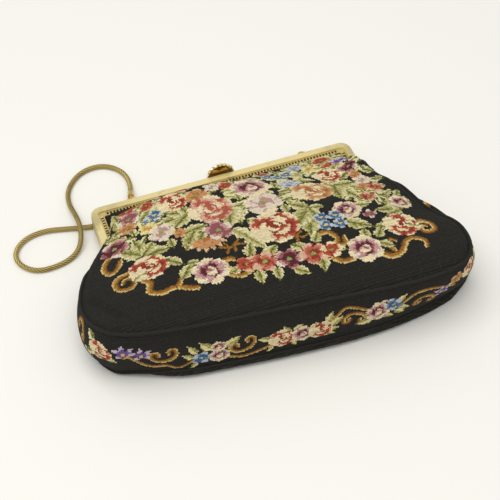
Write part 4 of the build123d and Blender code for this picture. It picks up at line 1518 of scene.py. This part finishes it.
def links_along_line() -> NodeWork:
    """Build a tree that sets links along a line, each turned a little further than the one before.

    Returns:
        The tree.
    """
    work = NodeWork(
        "links_along_line",
        {"Link": "NodeSocketObject", "Pitch": "NodeSocketFloat", "Turn": "NodeSocketFloat"},
    )
    board, given = work.board, work.given
    line = board.node("GeometryNodeMeshToCurve", {0: given["Geometry"]}).outputs[0]
    stops = board.node("GeometryNodeCurveToPoints", {"Curve": line, "Length": given["Pitch"]}, mode="LENGTH")
    number = board.node("GeometryNodeInputIndex").outputs[0]
    roll = board.node("ShaderNodeCombineXYZ", {2: board.math("MULTIPLY", number, given["Turn"])})
    turn = board.node("FunctionNodeEulerToRotation", {0: roll.outputs[0]})
    ways = board.node(
        "FunctionNodeRotateRotation",
        {0: stops.outputs["Rotation"], 1: turn.outputs[0]},
        rotation_space="LOCAL",
    )
    link = board.node("GeometryNodeObjectInfo", {"Object": given["Link"]})
    placed = board.node(
        "GeometryNodeInstanceOnPoints",
        {"Points": stops.outputs[0], "Instance": link.outputs["Geometry"], "Rotation": ways.outputs[0]},
    )
    work.close(placed.outputs[0])
    return work


def marks_object(name: str, spots: Array, facing: Array) -> Thing:
    """Make a host mesh of single points.

    Args:
        name: the host's name.
        spots: rows of x, y and z, in millimetres.
        facing: the direction that each point faces.

    Returns:
        The host.
    """
    mesh = bpy.data.meshes.new(name)
    mesh.from_pydata((np.asarray(spots) * MM).tolist(), [], [])
    held = mesh.attributes.new("facing", "FLOAT_VECTOR", "POINT")
    held.data.foreach_set("vector", np.asarray(facing, dtype=float).ravel())
    return in_scene(name, mesh)


@dataclass
class FrontPanel:
    """The petit point front, sewn to the front half of the clasp frame."""

    form: BagForm
    stitch: float = 1.0
    lift_start: float = 57.0
    lift_end: float = 31.0
    bend_height: float = 30.0
    seed: int = 11

    def bend(self) -> tuple[Vector, Vector]:
        """Two places at the bend's height and at the lift's start and end depths; the cloth itself is not
        made to follow the front frame.
        """
        depths = (self.lift_start, self.lift_end)
        return tuple(Vector((0, (FRAME_EDGE - d) * MM, self.bend_height * MM)) for d in depths)

    def build(self) -> None:
        """Work the pattern and lay the cloth over the bag's shape."""
        panel = CutPanel(self.form, self.stitch)
        chart = panel.chart(self.seed)
        for motif in FRONT_PATTERN:
            motif.work(chart)
        height = self.form.front(panel.x, panel.d)
        panel.draw(self.form.front_shift)
        thing = panel.build("front_needlework", height, chart.finish(), True)
        PETIT_POINT.put_on(thing)
        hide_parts("front_panel")
        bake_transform(thing)
        outline = self.form.outline
        flat = outline.flat_size()
        LOG.info("front panel: %d stitches", len(thing.data.polygons))


@dataclass
class BackPanel:
    """The plain back, sewn to the back half of the clasp frame."""

    form: BagForm
    stitch: float = 1.2
    seed: int = 12

    def build(self) -> None:
        """Lay plain stitches over the back's shape."""
        panel = CutPanel(self.form, self.stitch)
        chart = panel.chart(self.seed)
        height = self.form.back(panel.x, panel.d)
        panel.x, panel.d = self.form.rolled(panel.x, panel.d)
        thing = panel.build("back_needlework", height, chart.finish(), False)
        PETIT_POINT.put_on(thing)
        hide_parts("back_panel")
        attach(thing, "bag")
        outline = self.form.outline
        flat = outline.flat_size()
        LOG.info("back panel: %d stitches", len(thing.data.polygons))


class GussetBand:
    """The band that runs round the sides and bottom, with a worked border."""

    STITCH = 1.0
    ROWS = 46
    HINGE_DEPTH = 47.0
    BULGE, LEFT_BULGE = 2.0, 2.5
    LEFT_SWELL = (-119, 96, 26)
    RIPPLE, RIPPLE_RUN = 0.5, 9.5
    PUFF, PUFF_SHARE, PUFF_REACH = 4.5, 0.11, 0.09
    BOTTOM_HALF, BOTTOM_DEPTH = 104, 118
    TONGUE, TONGUE_IN, TONGUE_DOWN = 15.0, 14.0, 8.0
    HINGE_HEIGHT, TONGUE_HALF = 9.8, 2.6
    SEED = 13

    def __init__(self, form: BagForm) -> None:
        """Find the stations between the two hinges and the seams' heights there.

        Args:
            form: the bag's shape.
        """
        self.form = form
        outline = form.outline
        deep = np.flatnonzero(outline.points[:, 1] > self.HINGE_DEPTH)
        first, last = outline.stations[deep[0]], outline.stations[deep[-1]]
        self.stations = np.linspace(first, last, int((last - first) / self.STITCH))
        self.x, self.d = self.read(outline.points[:, 0]), self.read(outline.points[:, 1])
        self.out_x, self.out_d = self.read(outline.outward[:, 0]), self.read(outline.outward[:, 1])
        size = np.hypot(self.out_x, self.out_d)
        self.out_x, self.out_d = self.out_x / size, self.out_d / size
        self.front_shift, self.back_shift = self.read(form.front_shift), self.read(form.back_seam)
        self.fold = self.read(form.fold)
        self.left = self.read(outline.swell(*self.LEFT_SWELL))
        self.top = form.front(self.x, self.d)
        self.foot = form.back(self.x, self.d)
        self.tuck_in()

    def read(self, values: Array) -> Array:
        """Values along the outline, read at the band's own stations."""
        return np.interp(self.stations, self.form.outline.stations, values)

    def tuck_in(self) -> None:
        """Carry both ends of the band in behind the hinges, where it narrows to a tongue."""
        count = int(self.TONGUE / self.STITCH)
        share = np.arange(1, count + 1) / count
        soft = ease(share)
        for end, side in ((0, -1), (-1, 1)):
            goals = {
                "x": self.x[end] - side * self.TONGUE_IN * share,
                "d": self.d[end] + self.TONGUE_DOWN * soft,
                "top": self.top[end] + (self.HINGE_HEIGHT + self.TONGUE_HALF - self.top[end]) * soft,
                "foot": self.foot[end] + (self.HINGE_HEIGHT - self.TONGUE_HALF - self.foot[end]) * soft,
                "stations": self.stations[end] + side * self.STITCH * np.arange(1, count + 1),
            }
            for name in ("out_x", "out_d", "front_shift", "back_shift", "fold", "left"):
                goals[name] = np.full(count, getattr(self, name)[end])
            for name, more in goals.items():
                parts = [more[::-1], getattr(self, name)] if side < 0 else [getattr(self, name), more]
                setattr(self, name, np.concatenate(parts))

    def swell(self, share: Array) -> Array:
        """Let the cloth stand out.

        Args:
            share: the way from the front seam, at 0, to the back seam, at 1.

        Returns:
            How far it stands out at each station.
        """
        bulge = (self.BULGE + self.LEFT_BULGE * self.left) * np.sin(math.pi * share) ** 0.8
        wave = np.sin(self.stations / self.RIPPLE_RUN + 3 * share)
        ripple = self.RIPPLE * wave * np.sin(math.pi * share)
        seams = self.front_shift * (1 - share) ** (4 + 10 * self.fold) + self.back_shift * share**2
        return bulge + ripple + seams

    def height(self, share: Array) -> Array:
        """Stand the cloth between the seams, puffed up beside the folded right edge.

        Args:
            share: the way from the front seam, at 0, to the back seam, at 1.

        Returns:
            Its height at each station.
        """
        near = np.exp(-(((share - self.PUFF_SHARE) / self.PUFF_REACH) ** 2))
        puff = self.PUFF * self.fold * near * (share > 0)
        return self.top + (self.foot - self.top) * share + puff

    def border(self) -> list[Motif]:
        """Draw the running border of flowers, stems and scrolls.

        Returns:
            The motifs in the order in which they are worked.
        """
        place = self.form.outline.station

        def at(x: float) -> float:
            """The station of a place on the bottom run."""
            bottom = (np.abs(self.x) < self.BOTTOM_HALF) & (self.d > self.BOTTOM_DEPTH)
            return float(np.interp(x, self.x[bottom], self.stations[bottom]))

        def stem(*points: Point) -> Stroke:
            """A thin brown stem through places given by x and height."""
            line = [(at(x), -z) for x, z in points]
            return Stroke(line[0][0], line[0][1], tuple(line[1:]), (2.6, 2.2))

        def leaf(x: float, z: float, to_x: float, to_z: float) -> Leaf:
            """A small leaf, given by the x and height of its foot and its tip."""
            return Leaf(at(x), -z, (at(to_x), -to_z), 0.27, Palette.LEAF_YELLOW, 3, True)

        small_leaves = (
            (-62, 23, -67.5, 30.5), (-64, 19, -71, 23), (-53, 24, -60.5, 32), (-46, 24, -36, 31),
            (-62, 14, -66.5, 9), (-18, 22, -26, 24), (-17, 16, -21, 11), (-7, 25, -11, 32),
            (-5, 27, 1, 31), (-6, 17, -3, 12), (5, 26, 9, 30), (15, 25, 18.4, 36),
            (17, 23, 25, 29.5), (16, 20, 23.4, 19.5), (14, 17, 21, 15), (44, 20, 33, 18),
            (58, 32, 64, 36.5), (59, 26, 67, 23), (50, 22, 57, 18), (57, 24, 64, 18.5),
            (92, 30, 98, 34),
        )
        left_red, right_red = place(-113.6, 117.8), place(107, 142)
        left_end, puff = place(-118.5, 98), place(107, 78)
        return [
            Hook(left_end, -27, 6.4, 4.6, -1),
            Leaf(left_end + 8, -22, (left_end + 14, -17), 0.34, split=True),
            Stroke(puff - 12, -28, ((puff - 5, -31), (puff + 2, -32), (puff + 8, -30)), (4.0, 3.0)),
            Hook(puff - 2, -18, 6.4, 4.6),
            Leaf(puff + 8, -24, (puff + 15, -19), 0.34, split=True),
            stem((-104, 25), (-101, 27), (-94, 18), (-88, 14), (-80, 14.5), (-73, 11), (-65, 17)),
            stem((-44, 14), (-36, 11.5), (-28, 13), (-18, 17.5)),
            stem((16, 24), (21, 31), (26, 36), (32, 34.5), (41, 29)),
            stem((60, 28), (69, 35), (78, 35.5), (88, 32), (97, 28)),
            Hook(at(-81), -24, 7.4, 5.4),
            Hook(at(-35), -22, 7.4, 5.4, 1, -8),
            Hook(at(32.5), -24.5, 7.4, 5.0, -1, 2),
            Hook(at(77), -24, 7.4, 5.0, -1, 4),
            Leaf(left_red - 4, -33, (left_red - 12, -36), 0.32, split=True),
            Leaf(left_red - 4, -25, (left_red - 10, -20), 0.32, split=True),
            Leaf(left_red + 4, -25, (left_red + 9, -20), 0.32, split=True),
            *(leaf(*row) for row in small_leaves),
            Rose(left_red, -28, 8.0, turn=30, tall=0.8),
            Violet(at(-103.5), -29),
            Violet(at(-93.5), -25.5),
            Blossom(at(-59.6), -18, 5.8, Palette.BLUE, eye=Wool.YELLOW),
            CupRose(at(-49.5), -25.5, 5.0, turn=10),
            CupRose(at(-49), -17, 6.6, turn=25),
            Rose(at(-12), -21.5, 8.0, turn=15),
            CupRose(at(0.5), -22, 7.4, turn=25),
            Rose(at(11.5), -21.5, 7.8, turn=45),
            CupRose(at(51), -31, 4.6),
            CupRose(at(46.5), -26, 7.6, turn=10, tall=1.1),
            Blossom(at(56), -30, 5.6, Palette.BLUE, 30, eye=Wool.YELLOW),
            Violet(at(88), -26, 7.0),
            Blossom(place(98, 148), -35, 4.8, Palette.ORANGE),
            Rose(right_red, -36, 7.0, turn=10),
            Leaf(right_red + 5, -33, (right_red + 14, -27), 0.34, split=True),
            Leaf(right_red + 8, -37, (right_red + 18, -33), 0.3, split=True),
        ]

    def build(self) -> None:
        """Work the border and stand the band between its seams."""
        share = np.linspace(0, 1, self.ROWS)[:, None]
        out = self.swell(share)
        height = self.height(share)
        x = self.x + out * self.out_x
        y = FRAME_EDGE - (self.d + out * self.out_d)
        spots = np.stack([x, y, height], axis=2)
        across = np.broadcast_to(self.stations, height.shape)
        chart = Chart(stitch_middles(across), -stitch_middles(height), self.SEED)
        for motif in self.border():
            motif.work(chart)
        marks = np.stack([across, height], axis=2) / self.STITCH
        thing = StitchedCloth(spots, marks).build("gusset_needlework", chart.finish(), True)
        PETIT_POINT.put_on(thing)
        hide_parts("gusset_band")
        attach(thing, "bag")


@dataclass
class Piping:
    """The covered cords in the front and the back seam."""

    gusset: GussetBand
    radius: float = 1.05
    stand_out: float = 0.5
    step: float = 1.6
    fade: float = 16.0
    hide: float = 1.6
    front_rise: float = 0.4
    back_rise: float = 0.2

    def build(self) -> None:
        """Run a cord along each seam."""
        work, band = piped_seam(), self.gusset
        from_end = np.minimum(band.stations - band.stations[0], band.stations[-1] - band.stations)
        fade = 1 - ease((from_end - band.TONGUE) / self.fade)
        front, back = band.top + self.front_rise, band.foot + self.back_rise
        for name, seam, share in (("front_piping", front, 0.0), ("back_piping", back, 1.0)):
            out = self.stand_out + band.swell(np.full(1, share)) - self.hide * fade
            height = seam - (1.0 - share) * self.hide * fade
            y = FRAME_EDGE - band.d - out * band.out_d
            spots = np.stack([band.x + out * band.out_x, y, height], axis=1)
            host = line_object(name + "_line", spots)
            cord = work.run(host, name + "_cord", BLACK_WOOL, Radius=self.radius * MM, Step=self.step * MM)
            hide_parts(name)
            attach(cord, "bag")
            LOG.info("%s: %d faces", name, len(cord.data.polygons))


@dataclass
class Lining:
    """The satin lining's two large sheets, inside the front and inside the back."""

    form: BagForm
    front_panel: FrontPanel
    gap: float = 1.9
    inset: float = 2.2
    cell: float = 4.0

    def build(self) -> None:
        """Hang both sheets just inside the outer cloth."""
        panel = CutPanel(self.form, self.cell)
        plain = np.zeros((panel.x.shape[0] - 1, panel.x.shape[1] - 1, 3))
        heights = self.form.front(panel.x, panel.d) - self.gap, self.form.back(panel.x, panel.d) + self.gap
        panel.draw(self.form.front_shift - self.inset)
        front = panel.build("front_lining", heights[0], plain, False)
        panel = CutPanel(self.form, self.cell)
        panel.draw(np.minimum(self.form.back_seam, 0) - self.inset)
        back = panel.build("back_lining", heights[1], plain, True)
        low, high = self.front_panel.bend()
        outline = self.form.outline
        flat = outline.flat_size()
        for sheet in (front, back):
            BLACK_SATIN.put_on(sheet)
        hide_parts("lining")
        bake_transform(front)
        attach(back, "bag")
        for sheet in (front, back):
            LOG.info("%s: %d faces", sheet.name, len(sheet.data.polygons))


class SideLining:
    """The lining of the sides and bottom, inside the gusset."""

    ROWS = 7
    INSET = 2.4
    EDGE = 0.04
    COARSE = 4

    def __init__(self, gusset: GussetBand) -> None:
        """Take the gusset that it lines."""
        self.gusset = gusset

    def build(self) -> None:
        """Stand a satin band inside the gusset."""
        band = self.gusset
        pick = slice(None, None, self.COARSE)
        share = np.linspace(self.EDGE, 1 - self.EDGE, self.ROWS)[:, None]
        out = (band.swell(share) - self.INSET)[:, pick]
        height = band.height(share)[:, pick]
        x = band.x[pick] + out * band.out_x[pick]
        y = FRAME_EDGE - (band.d[pick] + out * band.out_d[pick])
        spots = np.stack([x, y, height], axis=2)
        marks = np.stack([np.broadcast_to(band.stations[pick], height.shape), height], axis=2)
        plain = np.zeros((height.shape[0] - 1, height.shape[1] - 1, 3))
        thing = StitchedCloth(spots, marks).build("side_lining", plain, False)
        BLACK_SATIN.put_on(thing)
        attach(thing, "bag")
        LOG.info("side lining: %d faces", len(thing.data.polygons))


@dataclass
class SewingStrips:
    """The hems under the two pierced strips, and the strips' rounded bars."""

    frame_half: float = 90.0
    band: float = 4.6
    strip: float = 3.4
    rail: float = 0.7
    slot_pitch: float = 2.2
    slot_width: float = 1.2
    arm_end: float = 40.8
    bar_sides: int = 8
    bar_rise: float = 0.42
    bar_lap: float = 0.25
    hem_laps: Point = (0.2, 0.8)
    hem_gap: float = 0.15
    bar_shares: tuple[Point, ...] = (
        (-1.0, 0.05), (-0.85, 0.75), (-0.5, 1.0), (0.5, 1.0), (0.85, 0.75), (1.0, 0.05),
    )

    def bar(self) -> Thing:
        """Make one bar.

        Returns:
            Half a rounded rod, along x.
        """
        half = (self.strip - 2 * self.rail) / 2 + self.bar_lap
        wide = (self.slot_pitch - self.slot_width) / 2
        spots, faces = [], []
        for along, size in self.bar_shares:
            for i in range(self.bar_sides + 1):
                way = math.pi * i / self.bar_sides
                rise = self.bar_rise * size * math.sin(way)
                spots.append((half * along, wide * size * math.cos(way), rise))
        row = self.bar_sides + 1
        for end in range(len(self.bar_shares) - 1):
            for i in range(self.bar_sides):
                a = end * row + i
                faces.append((a, a + row, a + row + 1, a + 1))
        return mesh_object("strip_bar", np.array(spots), faces)

    def runs(self) -> list[tuple[float, float, bool]]:
        """Count out the bars.

        Returns:
            Each bar's x and depth, and whether it points down the bag.
        """
        reach, middle = self.band + self.strip, self.band + self.strip / 2
        count = int((2 * self.frame_half - 2 * (reach + self.rail)) / self.slot_pitch)
        places = [((i - count / 2) * self.slot_pitch, middle, True) for i in range(count + 1)]
        arm = int((self.arm_end - reach - self.rail) / self.slot_pitch)
        for side in (-1, 1):
            for i in range(arm + 1):
                depth = reach + self.rail + i * self.slot_pitch
                places.append((side * (self.frame_half - middle), depth, False))
        return places

    def hem(self, name: str, height: float, upward: bool) -> Thing:
        """Make the band of cloth behind a strip's slots.

        Args:
            name: the piece's name.
            height: the band's height.
            upward: whether its outer side faces up.

        Returns:
            The band, bent round the strip's two corners.
        """
        lap_out, lap_in = self.hem_laps
        inner, outer, end = self.band + self.strip + lap_in, self.band + lap_out, self.arm_end + 1
        rows = []
        for reach in (outer, inner):
            x = self.frame_half - reach
            rows.append([(-x, end), (-x, reach), (x, reach), (x, end)])
        spots = np.array([[(x, FRAME_EDGE - d, height) for x, d in row] for row in rows]).reshape(-1, 3)
        faces = [(i, i + 4, i + 5, i + 1) for i in range(3)]
        if not upward:
            faces = [face[::-1] for face in faces]
        return mesh_object(name, spots, faces, False)

    def build(self) -> None:
        """Set the bars and hems of both strips."""
        work, bar = pieces_at_marks(), self.bar()
        places = self.runs()
        facing = [(0, 1, 0) if down else (1, 0, 0) for _, _, down in places]
        for half, body, node in (
            ("front", "front_frame", "front_sewing_strip"),
            ("back", "bag", "back_sewing_strip"),
        ):
            low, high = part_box(node)
            face, behind = high.z / MM, low.z / MM - self.hem_gap
            if half == "back":
                face, behind = low.z / MM, high.z / MM + self.hem_gap
                for vertex in bar.data.vertices:
                    vertex.co.z = -abs(vertex.co.z)
                bar.data.flip_normals()
            spots = np.array([(x, FRAME_EDGE - d, face) for x, d, _ in places])
            host = marks_object(half + "_bar_marks", spots, facing)
            bars = work.run(host, half + "_strip_bars", STRIP_GOLD, Piece=bar)
            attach(bars, body)
            hem = self.hem(half + "_hem", behind, half == "front")
            BLACK_WOOL.put_on(hem)
            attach(hem, body)
            LOG.info("%s strip: %d bars", half, len(places))
        bpy.data.objects.remove(bar)


@dataclass
class ClaspStones:
    """The paste stones on the clasp's dome, each held in a small gold cup."""

    radius: float = 8.2
    depth: float = 4.6
    standoff: float = 1.4
    stone: float = 1.28
    rows: tuple[tuple[float, int, float], ...] = (
        (1.02, 15, 300.0), (0.68, 10, 308.0), (0.34, 5, 288.0), (0.0, 1, 0.0),
    )
    sides: int = 8
    cup: tuple[Point, ...] = ((-0.3, 1.12), (0.3, 1.16), (0.42, 1.0), (0.3, 0.8))
    cut: tuple[Point, ...] = ((0.2, 0.92), (0.7, 0.9), (1.25, 0.5))

    def places(self) -> tuple[Array, Array]:
        """Set out the rows of stones on the dome.

        Returns:
            Where the stones sit, and which way they face.
        """
        ball = (self.radius**2 + self.depth**2) / (2 * self.depth)
        middle = (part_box("clasp_dome")[1].z / MM) - self.radius
        centre = np.array([0, FRAME_EDGE + self.standoff + self.depth - ball, middle])
        spots, ways = [], []
        for share, count, span in self.rows:
            lean = math.asin(min(share * self.radius / ball, 1.0))
            for i in range(count):
                turn = math.radians(90 + span * ((i + 0.5) / count - 0.5))
                side, up = math.sin(lean) * math.cos(turn), math.sin(lean) * math.sin(turn)
                way = np.array([side, math.cos(lean), up])
                spots.append(centre + ball * way)
                ways.append(way)
        return np.array(spots), np.array(ways)

    def turned(self, name: str, profile: Sequence[Point], smooth: bool) -> Thing:
        """Make a small turned piece along x.

        Args:
            name: the piece's name.
            profile: places along the axis, each with its share of the stone's radius.
            smooth: whether the faces are shaded as one soft surface.

        Returns:
            The piece, closed at its outer end.
        """
        spots = []
        for along, share in profile:
            reach = self.stone * share
            for i in range(self.sides):
                way = 2 * math.pi * (i + 0.5) / self.sides
                spots.append((along, reach * math.cos(way), reach * math.sin(way)))
        faces = tube_faces(len(profile), self.sides)
        faces.append(tuple(range((len(profile) - 1) * self.sides, len(profile) * self.sides)))
        return mesh_object(name, np.array(spots), faces, smooth)

    def build(self) -> None:
        """Set the cups and the stones."""
        work = pieces_at_marks()
        spots, ways = self.places()
        cup = self.turned("stone_cup", self.cup, True)
        cut = self.turned("cut_stone", self.cut, False)
        for piece, name, finish, slot in (
            (cup, "stone_cups", SHADED_CLASP_GOLD, "clasp"),
            (cut, "paste_stones", PASTE, "stones"),
        ):
            thing = work.run(marks_object(name + "_marks", spots, ways), name, finish, Piece=piece)
            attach(thing, "clasp")
            if slot == "stones":
                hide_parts("clasp_stones")
            bpy.data.objects.remove(piece)
        LOG.info("clasp: %d stones", len(spots))


class SnakeChain:
    """The snake chain handle, which lies loose on the table and crosses under the frame."""

    ROUTE = (
        (-58.158, 87.077, 4.568), (-56.64, 92.53, 2.57), (-55.5, 104, 1.7), (-59.5, 113.5, 1.7),
        (-69, 120.5, 1.7), (-81.5, 120, 1.7), (-91.5, 113, 1.7), (-97.5, 103, 1.7),
        (-98.8, 92.5, 2.6), (-98.6, 82, 6.8), (-97.9, 74.5, 8.6), (-97.9, 66.5, 8.6),
        (-99.6, 58, 6.0), (-104, 51.5, 2.6), (-112, 46.8, 1.7), (-122.5, 44.8, 1.7),
        (-132.5, 45.6, 1.7), (-140, 52, 1.7), (-143, 61, 1.7), (-139, 69.8, 1.7),
        (-130, 75.5, 1.7), (-118, 76.5, 1.7), (-105.5, 73.3, 1.7), (-93, 70, 1.7),
        (-77, 67.8, 1.7), (-50, 67, 1.7), (-15, 68, 1.7), (12, 70, 1.7), (30, 73.2, 1.7),
        (44.65, 75.85, 2.35), (50.217, 76.570, 4.447),
    )
    RADIUS = 1.7
    PITCH = 1.1
    SCALES = 5
    SLOPE = 1.0
    RIDGES = (1.0, 1.0, 0.97, 0.93, 0.87)
    LEVELS = ((-0.62, 0.9), (0.1, 1.0), (0.62, 0.98))

    def link(self) -> Thing:
        """Make one link.

        Returns:
            A short twisted cup along z, with a ridge for each scale.
        """
        ridges = self.RIDGES * self.SCALES
        sides = len(ridges)
        spots = []
        for along, size in self.LEVELS:
            for i in range(sides):
                way = 2 * math.pi * i / sides + along * self.turn()
                reach = self.RADIUS * size * ridges[i]
                spots.append((reach * math.cos(way), reach * math.sin(way), along * self.PITCH))
        faces = tube_faces(len(self.LEVELS), sides)
        link = mesh_object("chain_link", np.array(spots), faces, False)
        # painted shade: how far down each ridge lies towards the furrows, for darkening the metal there
        painted_groove_shade = [(1 - ridge) / (1 - ridges[-1]) for _ in self.LEVELS for ridge in ridges]
        link.data.attributes.new("painted_groove_shade", "FLOAT", "POINT").data.foreach_set("value", painted_groove_shade)
        return link

    def turn(self) -> float:
        """How far the scales wind round the chain in one link."""
        return self.SLOPE * self.PITCH / self.RADIUS

    def build(self) -> None:
        curve = bpy.data.curves.new("chain_route", "CURVE")
        curve.dimensions = "3D"
        curve.resolution_u = 24
        spline = curve.splines.new("NURBS")
        spline.points.add(len(self.ROUTE) - 1)
        for point, (x, y, z) in zip(spline.points, self.ROUTE):
            point.co = (x * MM, y * MM, z * MM, 1)
        spline.order_u = 3
        spline.use_endpoint_u = True
        route = in_scene("chain_route", curve)
        layer = bpy.context.evaluated_depsgraph_get()
        line = bpy.data.meshes.new_from_object(route.evaluated_get(layer), depsgraph=layer)
        bpy.data.objects.remove(route)
        host = in_scene("chain_line", line)
        link = self.link()
        values = {"Link": link, "Pitch": self.PITCH * MM, "Turn": self.turn()}
        chain = links_along_line().run(host, "snake_chain", BRASS, **values)
        bpy.data.objects.remove(link)
        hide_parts("chain")
        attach(chain, "bag")


class HardParts:
    """The metal pieces that are shown as the CAD made them."""

    PIECES = {
        FRAME_GOLD: ("front_frame", "back_frame"),
        STRIP_GOLD: ("front_sewing_strip", "back_sewing_strip", "left_hinge_pin", "right_hinge_pin"),
        SHADED_CLASP_GOLD: ("clasp_dome", "clasp_pin", "clasp_bracket"),
        LIT_CLAW_GOLD: ("clasp_claw",),
        BRASS: tuple(f"{side}_chain_{part}" for part in ("lug", "ring", "cap") for side in ("left", "right")),
    }

    def dress(self) -> None:
        """Give each piece its metal."""
        for finish, names in self.PIECES.items():
            finish.put_on(*(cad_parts[name] for name in names))
            LOG.info("%s in %s", ", ".join(names), finish.name)


@dataclass
class Studio:
    """A pale table, a pale room with one broad lamp above, and the photo's camera."""

    elevation: float = 50.0
    azimuth: float = -20.35
    lens: float = 90.0
    camera_place: tuple[float, float, float] = (-0.17910, -0.46564, 0.61305)
    table: str = "#f3f2ec"
    table_half: float = 4000.0
    room: tuple[float, ...] = (1.0, 0.995, 0.98, 1.0)
    horizon: float = 0.3
    zenith: float = 0.75
    lamp_watts: float = 13.4
    lamp_size: Point = (1.4, 1.2)
    lamp_colour: tuple[float, float, float] = (1.0, 0.99, 0.97)
    lamp_place: tuple[float, float, float] = (-0.3, -0.15, 1.45)

    def build(self) -> None:
        """Set the table, the light and the camera."""
        self.set_table()
        self.set_light()
        self.set_camera()

    def set_table(self) -> None:
        """A wide plain floor."""
        corners = np.array([(-1, -1, 0), (1, -1, 0), (1, 1, 0), (-1, 1, 0)])
        floor = mesh_object("table", corners * self.table_half, [(0, 1, 2, 3)])
        material = bpy.data.materials.new("table")
        material.use_nodes = True
        shader = material.node_tree.nodes["Principled BSDF"]
        shader.inputs["Base Color"].default_value = rgba(self.table)
        shader.inputs["Roughness"].default_value = 0.9
        shader.inputs["Specular IOR Level"].default_value = 0.0
        floor.data.materials.append(material)

    def set_light(self) -> None:
        """A pale room, brighter overhead, and one broad lamp."""
        world = bpy.data.worlds.new("studio")
        world.use_nodes = True
        board = Board(world.node_tree)
        light = world.node_tree.nodes["Background"]
        way = board.node("ShaderNodeTexCoord").outputs["Generated"]
        rise = board.math("MAXIMUM", board.node("ShaderNodeSeparateXYZ", {0: way}).outputs[2], 0.0)
        strength = board.math("MULTIPLY_ADD", rise, self.zenith - self.horizon, self.horizon)
        board.feed(light.inputs["Color"], self.room)
        board.feed(light.inputs["Strength"], strength)
        bpy.context.scene.world = world
        lamp = bpy.data.lights.new("window", "AREA")
        lamp.shape, lamp.energy, lamp.color = "RECTANGLE", self.lamp_watts, self.lamp_colour
        lamp.size, lamp.size_y = self.lamp_size
        holder = in_scene("window", lamp)
        holder.location = self.lamp_place
        holder.rotation_euler = Vector(self.lamp_place).to_track_quat("Z", "Y").to_euler()

    def set_camera(self) -> None:
        """The camera that the photo was matched with."""
        camera = bpy.data.cameras.new("photo")
        camera.lens, camera.sensor_width = self.lens, 36.0
        e, a = math.radians(self.elevation), math.radians(self.azimuth)
        away = Vector((math.sin(a) * math.cos(e), -math.cos(a) * math.cos(e), math.sin(e)))
        holder = in_scene("photo", camera)
        holder.location = self.camera_place
        holder.rotation_euler = away.to_track_quat("Z", "Y").to_euler()
        bpy.context.scene.camera = holder


@dataclass
class Handbag:
    """The whole bag."""

    form: BagForm = field(default_factory=BagForm)

    def build(self) -> None:
        """Build and dress every piece."""
        SnakeChain().build()
        front = FrontPanel(self.form)
        front.build()
        BackPanel(self.form).build()
        gusset = GussetBand(self.form)
        gusset.build()
        Piping(gusset).build()
        Lining(self.form, front).build()
        SideLining(gusset).build()
        SewingStrips().build()
        ClaspStones().build()
        HardParts().dress()


def main() -> None:
    """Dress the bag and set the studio."""
    logging.basicConfig(level=logging.INFO, format="%(name)s: %(message)s")
    bpy.context.scene.view_settings.view_transform = "Standard"
    Handbag().build()
    Studio().build()


if __name__ == "__main__":
    main()
